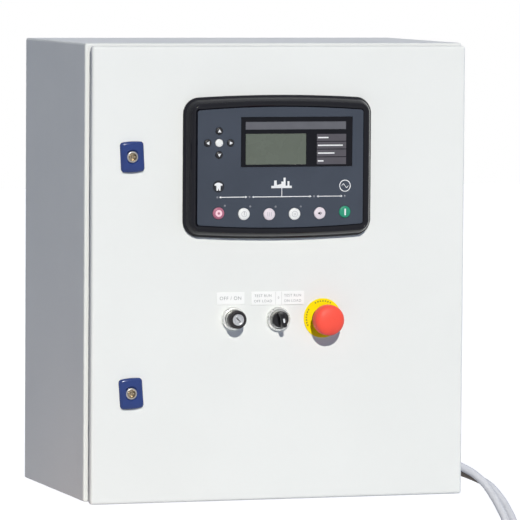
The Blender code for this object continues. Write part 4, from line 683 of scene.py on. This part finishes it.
def facia_prints():
    """The printed lines, symbols and lamps on the facia."""
    place = on_door(*CONTROLLER)
    low, high = FACIA_TOP, FACIA_TOP + PRINT
    white = []
    for a, b in ((-79.5, -45.5), (-36.5, 39.6), (49.3, 81)):
        white += [bar(a + 1.1, LINE_Y - 0.5, b - 1.1, LINE_Y + 0.5)]
        white += arrow(180, a, LINE_Y, 0.8) + arrow(0, b, LINE_Y, 0.8)
    white += [bar(1.1, -36.45, 2.1, -26.25), SKYLINE]
    x, y = MAINS_SIGN
    white += ring(7.6, 6.5, x, y)
    wave = [(x + 4.4 * (i / 12 - 1), y + 2.2 * math.sin(math.pi * i / 12)) for i in range(25)]
    white += [[(x, y + 0.6) for x, y in wave] + [(x, y - 0.6) for x, y in reversed(wave)]]
    printed = flat("facia_print_white", white, low, high, place)
    dressed(printed, "door", "white_plastic", INK_WHITE)
    x, y = TOWER_SIGN
    disc = flat("facia_print_disc", [circle(7.6, x, y)], low, high, place)
    dressed(disc, "door", "black_plastic", INK_BLACK)
    mains = flat("facia_print_mains", [[(x + px, y + py) for px, py in TOWER]], high, high + 0.05, place)
    dressed(mains, "door", "white_plastic", INK_WHITE)
    lamps = [(x, LINE_Y) for x in (-83.2, -41.0, 44.4, 85.3)]
    keys = [BUTTONS[f"button_{name}"] for name, _ in FUNCTION_KEYS[:4]]
    lamps += [(x + 8.3, y + 9.4) for x, y, _, _ in keys]
    lens = [(0, 0.45), (0.8, 0.36), (1.35, 0)]
    lenses = turned("facia_lamps", lens, on_door(*CONTROLLER, FACIA_TOP), 20, 40, lamps)
    dressed(lenses, "door", "grey_plastic", LED_DARK)


LINE_Y = -37.0  # the line from the mains over the load to the generator
MAINS_SIGN = (85.5, -24.0)
TOWER_SIGN = (-81.9, -23.5)
TOWER = [
    (-5.2, 1.2), (-5.0, 3.2), (-1.6, 4.9), (1.6, 4.9), (5.0, 3.2), (5.2, 1.2), (3.0, 1.2), (2.9, 2.2),
    (2.5, -5.2), (0.9, -5.2), (0, -2.2), (-0.9, -5.2), (-2.5, -5.2), (-2.9, 2.2), (-3.0, 1.2),
]
SKYLINE = [
    (-12.3, -26.2), (14.7, -26.2), (14.7, -23.2), (11.6, -23.2), (11.6, -17.6), (9.0, -17.6), (9.0, -23.2),
    (6.5, -23.2), (6.5, -13.2), (3.8, -13.2), (3.8, -18), (0.9, -18), (0.9, -21), (-5.0, -22.4),
    (-5.4, -16.6), (-8.6, -16.6), (-8.8, -23.2), (-12.3, -23.2),
]
HORN = [(-2.6, -0.9), (-1.2, -0.9), (0.6, -2.2), (0.6, 2.2), (-1.2, 0.9), (-2.6, 0.9)]
KEY_PAINTS = {"button_stop": KEY_RED}
SYMBOLS = {
    "nav_button_up": (INK_WHITE, arrow(90)),
    "nav_button_down": (INK_WHITE, arrow(-90)),
    "nav_button_left": (INK_WHITE, arrow(180)),
    "nav_button_right": (INK_WHITE, arrow(0)),
    "button_stop": (INK_PINK, ring(4.3, 1.6)),
    "button_start": (INK_WHITE, [bar(-0.95, -4.2, 0.95, 4.2)]),
    "button_manual": (SYMBOL_GREY, ring(3.6, 3.1) + [bar(-0.35, -1.6, 0.35, 3.1)]),
    "button_test": (SYMBOL_GREY, [bar(x - 0.3, -2.6, x + 0.3, 2.8) for x in (-2.5, 0, 2.5)]),
    "button_auto": (SYMBOL_GREY, ring(3.8, 3.3) + ring(1.5, 1.0)),
    "button_mute": (INK_BLACK, [HORN, bar(1.6, -1.2, 2.2, 1.2)]),
}


# The door's devices: the profiles are radii and heights out of the door


KEY_SLOT_TILT = 40  # degrees
GRIP_TILT = 12  # degrees
ESTOP_DISC_SHIFT = (-1.0, 1.1)  # from the head's axis
ESTOP_DISC_TOP = 1.3
HEAD_RADIUS = 19.3


def key_switch():
    """The ring, the sleeve, the dark collar, and the barrel with its slot that turns in them."""
    place = on_door(*KEY_SWITCH)
    foot = [(12.2, 6.8), (12.9, 6.8), (13.5, 6.5), (14.2, 5.8), (14.6, 4.9), (14.7, 4.0), (14.7, GAP)]
    foot += [(10.8, GAP), (10.8, -13), (7.7, -13), (7.7, 4.4), (12.2, 4.4)]
    base = turned("key_switch_ring", foot, place, 72, 40)
    dressed(base, "door", "device_ring", SILVER)
    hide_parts("key_switch_body")
    tube = [(7.7, 4.6), (11.4, 4.6), (11.4, 11.6), (10.9, 12.1), (7.7, 12.1)]
    sleeve = turned("key_switch_sleeve", tube + tube[:1], place, 72, 40)
    dressed(sleeve, "door", "device_ring", SILVER)
    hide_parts("key_switch_body")
    collar = [(7.7, 12.3), (11.2, 12.3), (11.5, 12.7), (11.5, 21.4), (11.3, 22.2), (10.8, 22.8), (10.2, 23.0)]
    collar += [(8.8, 23.0), (8.0, 22.6), (7.7, 22.2)]
    cap = turned("key_switch_collar", collar + collar[:1], place, 72, 40)
    dressed(cap, "door", "black_plastic", KEY_COLLAR)
    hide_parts("key_switch_body")
    rim = [(5.2, 14), (7.4, 14), (7.4, 23.7), (7.25, 24.2), (6.9, 24.5)]
    rim += [(5.9, 24.5), (5.6, 24.2), (5.2, 24.1)]
    edge = turned("key_barrel_rim", rim + rim[:1], place, 48, 40)
    dressed(edge, "key_barrel", "chrome", BARREL_STEEL)
    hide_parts("key_barrel")
    turn = place @ Matrix.Rotation(math.radians(KEY_SLOT_TILT), 4, "Z")
    face = flat("key_barrel_face", [circle(5.15), bar(-0.9, -3.9, 0.9, 3.9)], 15, 23.9, turn, 0.15)
    dressed(face, "key_barrel", "chrome", BARREL_STEEL)
    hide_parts("key_barrel")
    tail = turned("key_barrel_tail", [(0, 14.8), (7.4, 14.8), (7.4, -12.7), (0, -12.7)], place, 40, 40)
    dressed(tail, "key_barrel", "chrome")
    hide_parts("key_barrel")


def selector():
    """The ring, and the knob with its grip and pointer that turns in it."""
    place = on_door(*SELECTOR)
    foot = [(6.3, 4.2), (11.6, 4.2), (12.0, 5.8), (12.5, 6.4), (13.2, 6.5), (14.2, 5.8), (14.9, 4.6)]
    foot += [(15.2, 3.4), (15.2, GAP), (10.8, GAP), (10.8, -13), (6.3, -13)]
    base = turned("selector_ring", foot + foot[:1], place, 72, 40)
    dressed(base, "door", "device_ring", SILVER)
    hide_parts("selector_body")
    disc = [(0, 12), (9.3, 12), (9.9, 11.8), (10.3, 11.4), (10.5, 10.8), (10.5, 10.2), (10.1, 9.0)]
    disc += [(9.7, 8.0), (9.7, 5.3), (6, 5.3), (6, -12.7), (0, -12.7)]
    knob = turned("selector_disc", disc, place, 72, 40)
    dressed(knob, "selector_knob", "black_plastic", KNOB_BLACK)
    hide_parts("selector_knob")
    turn = place @ Matrix.Rotation(math.radians(GRIP_TILT), 4, "Z")
    sections = []
    for height, width, length in (
        (11.8, 7.5, 19.6), (18, 7.4, 19.6), (22.4, 6.8, 19.4),
        (24.1, 5.9, 18.8), (24.8, 5.2, 18.2), (25, 4.4, 17.4),
    ):
        outline = arched_outline(width, length, width / 2 - 0.1, 0, 8, 2)
        sections.append([(x, y, height) for x, y in outline])
    grip = ring_loft("selector_grip", sections, turn, 50)
    dressed(grip, "selector_knob", "black_plastic", KNOB_BLACK)
    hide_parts("selector_knob")
    pointer = [(x, y - 0.6) for x, y in arched_outline(2.4, 5.4, 1.1, 0, 6, 2)]
    line = flat("selector_pointer", [pointer], 24.9, 25.06, turn)
    dressed(line, "selector_knob", "white_plastic", INK_WHITE)


def emergency_stop():
    """The yellow disc with its marks, the collar and the mushroom head."""
    place = on_door(*ESTOP)
    dx, dy = ESTOP_DISC_SHIFT
    disc = flat("estop_disc", [circle(25, dx, dy, 96), circle(11.1)], GAP, ESTOP_DISC_TOP, place, 0.2)
    dressed(disc, "door", "yellow_label")
    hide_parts("estop_ring")
    dashes = []
    for middle in list(range(62, 121, 9)) + list(range(150, 211, 9)):
        a0, a1 = math.radians(middle - 2.6), math.radians(middle + 2.6)
        arc = [a0 + (a1 - a0) * i / 3 for i in range(4)]
        outer = [(22.6 * math.cos(a) + dx, 22.6 * math.sin(a) + dy) for a in arc]
        dashes.append(outer + [(20.6 * math.cos(a) + dx, 20.6 * math.sin(a) + dy) for a in reversed(arc)])
    marks = flat("estop_marks", dashes, ESTOP_DISC_TOP, ESTOP_DISC_TOP + 0.04, place)
    dressed(marks, "door", "black_plastic", MARK_OLIVE)
    profile = [(7.3, 7.6), (12.6, 7.6), (12.9, 8.0), (13.8, 8.0), (14.6, 7.6), (15, 6.8), (15, 1.6)]
    profile += [(10.8, 1.6), (10.8, -13), (7.3, -13)]
    collar = turned("estop_collar", profile + profile[:1], place, 72, 40)
    dressed(collar, "door", "black_plastic")
    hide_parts("estop_body")
    dome = []
    for i in range(25):
        angle = math.pi / 2 * i / 24
        dome.append((HEAD_RADIUS * math.sin(angle) ** 0.75, 25 + 9 * math.cos(angle) ** 0.8))
    skirt = [(HEAD_RADIUS, 16.4), (19.1, 15.6), (18.4, 15.1), (12.5, 14.7), (12, 14.5), (4.3, 14.5)]
    skirt += [(4.3, 22.8), (0, 22.8)]
    head = turned("estop_mushroom", dome + skirt, place, 96, 50)
    dressed(head, "estop_head", "red_plastic")
    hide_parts("estop_head")


# The locks


LOCK_WIDTH, LOCK_HEIGHT, LOCK_CORNER, LOCK_BOW = 30.4, 39.2, 3.7, 1.4
LOCK_PROUD = 5.8
LOCK_CROWN = 1.6  # how far the cover's middle stands out from its sides
LOCK_WALL = 1.5  # where the cover's rounded edges start
LOCK_EDGE = 3.4  # how far in those edges reach
LOCK_SHIFT = (0.6, -0.1)  # the cover's middle from the insert's axis


def crowned(x):
    """The lock cover's height over the door at x from its middle."""
    radius = (LOCK_WIDTH**2 / 4 + LOCK_CROWN**2) / (2 * LOCK_CROWN)
    return LOCK_PROUD - radius + math.sqrt(radius**2 - x**2)


def cover_outline(share=1.0, inset=0.0, corner=LOCK_CORNER):
    """The cover's outline, shrunk to a share of its size or set in all round."""
    width, height = LOCK_WIDTH * share - 2 * inset, LOCK_HEIGHT * share - 2 * inset
    return arched_outline(width, height, corner * share - inset, LOCK_BOW * share, 8, 16)


def lock(side):
    """The blue cover with its crowned face and dished seat, and the insert that turns in it."""
    x0, z0, tilt = LOCKS[side]
    straight = on_door(x0, z0)
    place = straight @ Matrix.Rotation(math.radians(tilt), 4, "Z")
    dx, dy = LOCK_SHIFT
    sections = []
    for height in (GAP, LOCK_WALL):
        sections.append([(x + dx, y + dy, height) for x, y in cover_outline()])
    for i in range(1, 8):
        turn = math.pi / 2 * i / 7
        outline = cover_outline(inset=LOCK_EDGE * (1 - math.cos(turn)))
        rise = math.sin(turn)
        sections.append([(x + dx, y + dy, LOCK_WALL + (crowned(x) - LOCK_WALL) * rise) for x, y in outline])
    for share in (0.85, 0.7, 0.58):
        outline = cover_outline(share, corner=3.0)
        sections.append([(x + dx * share, y + dy * share, crowned(x)) for x, y in outline])
    around = [(x / math.hypot(x, y), y / math.hypot(x, y)) for x, y, _ in sections[-1]]
    for radius, sunk in ((9.6, 0), (9.2, 0.35)):
        sections.append([(a * radius, b * radius, crowned(a * radius) - sunk) for a, b in around])
    for radius, height in ((7.6, 3.8), (7.6, -14), (9.8, -14), (9.8, GAP)):
        sections.append([(a * radius, b * radius, height) for a, b in around])
    cover = ring_loft(f"lock_cover_{side}", sections + sections[:1], place, 40, capped=False)
    dressed(cover, "door", "blue_plastic")
    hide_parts(f"lock_housing_{side}")
    body = f"lock_{side}"
    shell = [(5.3, 5.9), (5.5, 6.1), (6.3, 6.1), (6.9, 5.8), (7.2, 5.2), (7.2, -21), (0, -21)]
    shell += [(0, -0.2), (5.3, -0.2)]
    insert = turned(f"lock_barrel_{side}", shell + shell[:1], straight, 64, 40)
    dressed(insert, body, "chrome", LOCK_STEEL)
    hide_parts(f"lock_insert_{side}")
    lining = [(5.0, 5.6), (5.25, 5.8), (5.25, -0.15), (0, -0.15), (0, 0.1), (5.0, 0.1)]
    bore = turned(f"lock_lining_{side}", lining + lining[:1], straight, 64, 40)
    dressed(bore, body, "chrome", BRASS)
    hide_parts(f"lock_insert_{side}")
    stem = [(0, 6.1), (1.3, 6.1), (1.6, 5.8), (1.6, 0.15), (0, 0.15)]
    post = turned(f"lock_post_{side}", stem, straight, 32, 40)
    dressed(post, body, "chrome", BRASS)
    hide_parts(f"lock_insert_{side}")
    wings = boxes(f"lock_wings_{side}", (2.3, 2.4, 5.0), [(-3.05, 0, 2.6), (3.05, 0, 2.6)], straight, 0.25)
    dressed(wings, body, "chrome", BRASS)
    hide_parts(f"lock_insert_{side}")
    drive = boxes(f"lock_drive_{side}", (8, 8, 5.6), [(0, 0, -23.8)], straight, 0.3)
    dressed(drive, body, "bright_steel")
    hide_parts(f"lock_insert_{side}")
    hexagon = [(0, -29), (5.4, -29), (6, -28.4), (6, -26), (0, -26)]
    screw = turned(f"lock_screw_{side}", hexagon, straight, 6, 20)
    dressed(screw, body, "bright_steel")
    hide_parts(f"lock_insert_{side}")


# The labels


LABEL_TOP = 0.9
# Each plate's middle from its device, and its size: x, z, width, height
LABELS = {
    "label_plate_key": (KEY_SWITCH, -3.2, 25.3, 36.4, 15.4),
    "label_plate_selector": (SELECTOR, -0.7, 26.3, 69.8, 16.8),
}


def labels():
    """The two plates by the switches, with their generic words."""
    tops = {}
    for name, (device, dx, dz, width, height) in LABELS.items():
        place = on_door(device[0] + dx, device[1] + dz)
        outline = arched_outline(width, height, 0.8, 0, 4, 2)
        plate = flat(f"{name}_face", [outline], GAP, LABEL_TOP, place, 0.15)
        dressed(plate, "door", "white_plastic", LABEL_WHITE)
        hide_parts(name)
        tops[name] = on_door(device[0] + dx, device[1] + dz, LABEL_TOP)
    words = [lettering("label_words_key", "OFF / ON", 6.3, tops["label_plate_key"], spacing=1.12)]
    place = tops["label_plate_selector"]
    for name, text, x, y in (
        ("left_first", "TEST RUN", -19.5, 3.1), ("left_second", "OFF LOAD", -19.5, -3.7),
        ("right_first", "TEST RUN", 19.8, 3.1), ("right_second", "ON LOAD", 19.8, -3.7),
    ):
        words.append(lettering(f"label_words_{name}", text, 4.7, place, x, y, spacing=1.1))
    words.append(lettering("label_words_middle", "0", 4.2, place, 1.0, 0.4))
    for piece in words:
        dressed(piece, "door", "black_plastic", INK_LABEL)
    grooves = boxes("label_grooves", (0.5, 16.4, 0.08), [(-2.8, 0, 0), (5.1, 0, 0)], place)
    dressed(grooves, "door", "grey_plastic", INK_PALE)


# The cable glands


def gland(side):
    """The domed nut on its hexagon in the right wall; its local Z points out of the wall."""
    y, z = GLANDS[side]
    place = Matrix.Translation((RIGHT_WALL * MM, y * MM, z * MM)) @ Matrix.Rotation(math.pi / 2, 4, "Y")
    profile = [(5.6, 27.0), (7.2, 27.3), (8.4, 27.0), (9.4, 26.1), (10.4, 24.4), (11.1, 22.2), (11.5, 19.5)]
    profile += [(11.5, 9.0), (10.9, 8.4), (10.9, 6.6), (9.8, 6.4), (9.8, -9), (5.55, -9)]
    dome = turned(f"gland_dome_{side}", profile + profile[:1], place, 64, 40)
    dressed(dome, "enclosure", "grey_plastic")
    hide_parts(f"cable_gland_{side}")
    hexagon = [(13.5, GAP), (13.5, 5.6), (13.1, 6.2), (9.9, 6.2), (9.9, GAP)]
    nut = turned(f"gland_nut_{side}", hexagon + hexagon[:1], place, 6, 20)
    dressed(nut, "enclosure", "grey_plastic")
    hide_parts(f"cable_gland_{side}")
    grips = [(x, y, 14.3) for x, y in circle(11.35, sides=18)]
    ribs = boxes(f"gland_ribs_{side}", (0.9, 0.9, 9.5), grips, place, 0.2)
    dressed(ribs, "enclosure", "grey_plastic")


# The fittings inside


def screws(name, spots, radius):
    """Cross-head screws facing forward, each at (x, y, z) in millimetres, their heads' foot at y."""
    form = bmesh.new()
    for x, y, z in spots:
        place = Matrix.Translation((x, y - radius * 0.3, z)) @ Matrix.Rotation(math.pi / 2, 4, "X")
        head = {"radius1": radius, "radius2": radius * 0.86, "depth": radius * 0.6}
        bmesh.ops.create_cone(form, cap_ends=True, segments=20, matrix=place, **head)
        for turn in (0.4, 0.4 + math.pi / 2):
            cross = Matrix.Translation((x, y - radius * 0.62, z)) @ Matrix.Rotation(turn, 4, "Y")
            size = Matrix.Diagonal((radius * 1.3, radius * 0.06, radius * 0.26, 1))
            bmesh.ops.create_cube(form, size=1, matrix=cross @ size)
    dressed(finished(name, form, smooth=30), "enclosure", "bright_steel")


TERMINALS, TERMINAL_PITCH = 24, 8


def fittings():
    """The screws of the terminals and of the contactors."""
    low, high = (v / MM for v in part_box("terminal_strip"))
    rows = (low.z + 4.2, high.z - 4.2)
    front = low.y + 0.4 * (high.y - low.y)
    columns = [low.x + 3.5 + TERMINAL_PITCH * i for i in range(TERMINALS)]
    screws("terminal_screws", [(x, front, z) for x in columns for z in rows], 1.9)
    for name in ("mains_contactor", "generator_contactor"):
        low, high = (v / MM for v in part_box(name))
        middle, third = (low.x + high.x) / 2, (high.x - low.x) / 3
        tall, floor = high.z - low.z, high.y - 0.3 * (high.y - low.y)
        rows = (low.z + 0.05 * tall, high.z - 0.05 * tall)
        screws(f"{name}_screws", [(middle + i * third, floor, z) for i in (-1, 0, 1) for z in rows], 3.2)


# Stage


def viewing_rays(tree):
    """1 for what the camera sees, straight or in gloss and glass, and 0 for the light on the object."""
    paths = tree.nodes.new("ShaderNodeLightPath")
    seen = paths.outputs["Is Camera Ray"]
    for other in ("Is Glossy Ray", "Is Transmission Ray"):
        either = tree.nodes.new("ShaderNodeMath")
        either.operation = "MAXIMUM"
        tree.links.new(seen, either.inputs[0])
        tree.links.new(paths.outputs[other], either.inputs[1])
        seen = either.outputs[0]
    return seen


def part_rays(tree, lit, seen, output):
    """One shader for the light on the object, and another for what is seen of the stage."""
    mix = tree.nodes.new("ShaderNodeMixShader")
    tree.links.new(viewing_rays(tree), mix.inputs["Fac"])
    tree.links.new(lit.outputs[0], mix.inputs[1])
    tree.links.new(seen.outputs[0], mix.inputs[2])
    tree.links.new(mix.outputs[0], tree.nodes[output].inputs["Surface"])


FLOOR_COLOUR = (0.64, 0.66, 0.66, 1)
LIT_COLOUR = (0.55, 0.55, 0.55, 1)  # the part of the seen floor's white that a shadow takes away
FLOOR_GLOW = 0.76  # the part that it gives off itself
FLOOR_Z = -750.0


def white_floor():
    """A floor that is seen white, with the object's shadow on it, and lights the object in its colour."""
    made = bpy.data.materials.new("pale_floor")
    made.use_nodes = True
    tree = made.node_tree
    shader = tree.nodes["Principled BSDF"]
    shader.inputs["Base Color"].default_value = FLOOR_COLOUR
    shader.inputs["Roughness"].default_value = 0.9
    shader.inputs["Specular IOR Level"].default_value = 0.0
    glow = tree.nodes.new("ShaderNodeEmission")
    glow.inputs["Strength"].default_value = FLOOR_GLOW
    cast = tree.nodes.new("ShaderNodeBsdfDiffuse")
    cast.inputs["Color"].default_value = LIT_COLOUR
    both = tree.nodes.new("ShaderNodeAddShader")
    tree.links.new(glow.outputs[0], both.inputs[0])
    tree.links.new(cast.outputs[0], both.inputs[1])
    part_rays(tree, shader, both, "Material Output")
    return made


def stage():
    """The floor, under the wall-mounted panel and its cables."""
    floor = boxes("floor", (30000, 30000, 10), [(0, 0, FLOOR_Z - 5)])
    floor.data.materials.append(white_floor())


# Light


HORIZON, ZENITH = (0.16, 0.225, 0.38, 1), (0.01, 0.03, 0.10, 1)
ZENITH_START = 0.6  # the height in the sky from which it has its zenith's colour
LEFT_SHADE = 0.36  # the sky's share of strength at the far left
BEHIND = (0.6, 0.8, 0.0)  # the way to the right and behind, where the sky is stronger
BEHIND_FILL = 3.4
SUN_AIM = (0.12, 0.86, -0.50)
SUN_COLOUR = (1.0, 0.972, 0.905)
SUN_STRENGTH = 3.09
SUN_WIDTH = 1.2  # degrees
BOUNCE_PLACE, BOUNCE_TARGET = Vector((-0.5, -0.33, -0.58)), Vector((-0.25, -0.22, -0.27))
BOUNCE_COLOUR = (1.0, 0.66, 0.45)
BOUNCE_POWER = 0.35
BOUNCE_SIZE = 0.3


def sky():
    """An open sky, darker upwards and to the left and lighter behind, that is seen white."""
    world = bpy.data.worlds.new("studio")
    world.use_nodes = True
    tree = world.node_tree
    wire = tree.links.new
    back = tree.nodes["Background"]
    place = tree.nodes.new("ShaderNodeTexCoord")
    split = tree.nodes.new("ShaderNodeSeparateXYZ")
    wire(place.outputs["Generated"], split.inputs[0])
    colour = tree.nodes.new("ShaderNodeMix")
    colour.data_type = "RGBA"
    wire(map_range(tree, split.outputs["Z"], 0.0, 1.0, 0.0, ZENITH_START), colour.inputs["Factor"])
    colour.inputs[6].default_value = HORIZON
    colour.inputs[7].default_value = ZENITH
    wire(colour.outputs[2], back.inputs["Color"])
    behind = tree.nodes.new("ShaderNodeVectorMath")
    behind.operation = "DOT_PRODUCT"
    behind.inputs[1].default_value = BEHIND
    wire(place.outputs["Generated"], behind.inputs[0])
    strength = tree.nodes.new("ShaderNodeMath")
    strength.operation = "MULTIPLY"
    wire(map_range(tree, split.outputs["X"], LEFT_SHADE, 1.0, -0.9, -0.1), strength.inputs[0])
    wire(map_range(tree, behind.outputs["Value"], 1.0, BEHIND_FILL, 0.1, 0.9), strength.inputs[1])
    wire(strength.outputs[0], back.inputs["Strength"])
    white = tree.nodes.new("ShaderNodeBackground")
    white.inputs["Color"].default_value = (1, 1, 1, 1)
    white.inputs["Strength"].default_value = 1.0
    part_rays(tree, back, white, "World Output")
    bpy.context.scene.world = world


def aimed(direction):
    return Vector(direction).to_track_quat("-Z", "Y").to_matrix().to_4x4()


def sun():
    """The sun, from the front, above and a little left."""
    data = bpy.data.lights.new("key", "SUN")
    data.energy = SUN_STRENGTH
    data.angle = math.radians(SUN_WIDTH)
    data.color = SUN_COLOUR
    link("key", data, aimed(SUN_AIM))


def ground_bounce():
    """The warm light that the ground throws on the left wall's lower front."""
    data = bpy.data.lights.new("ground_bounce", "AREA")
    data.shape = "RECTANGLE"
    data.size, data.size_y = BOUNCE_SIZE, BOUNCE_SIZE
    data.energy = BOUNCE_POWER
    data.color = BOUNCE_COLOUR
    place = Matrix.Translation(BOUNCE_PLACE) @ aimed(BOUNCE_TARGET - BOUNCE_PLACE)
    link("ground_bounce", data, place).visible_camera = False


camera()
for cable_side in CABLES:
    cable(cable_side)
dress_nodes()
bezel()
display()
key_caps()
facia_prints()
key_switch()
selector()
emergency_stop()
labels()
for lock_side in LOCKS:
    lock(lock_side)
for gland_side in GLANDS:
    gland(gland_side)
fittings()
stage()
sky()
sun()
ground_bounce()

bpy.context.scene.view_settings.view_transform = "Standard"
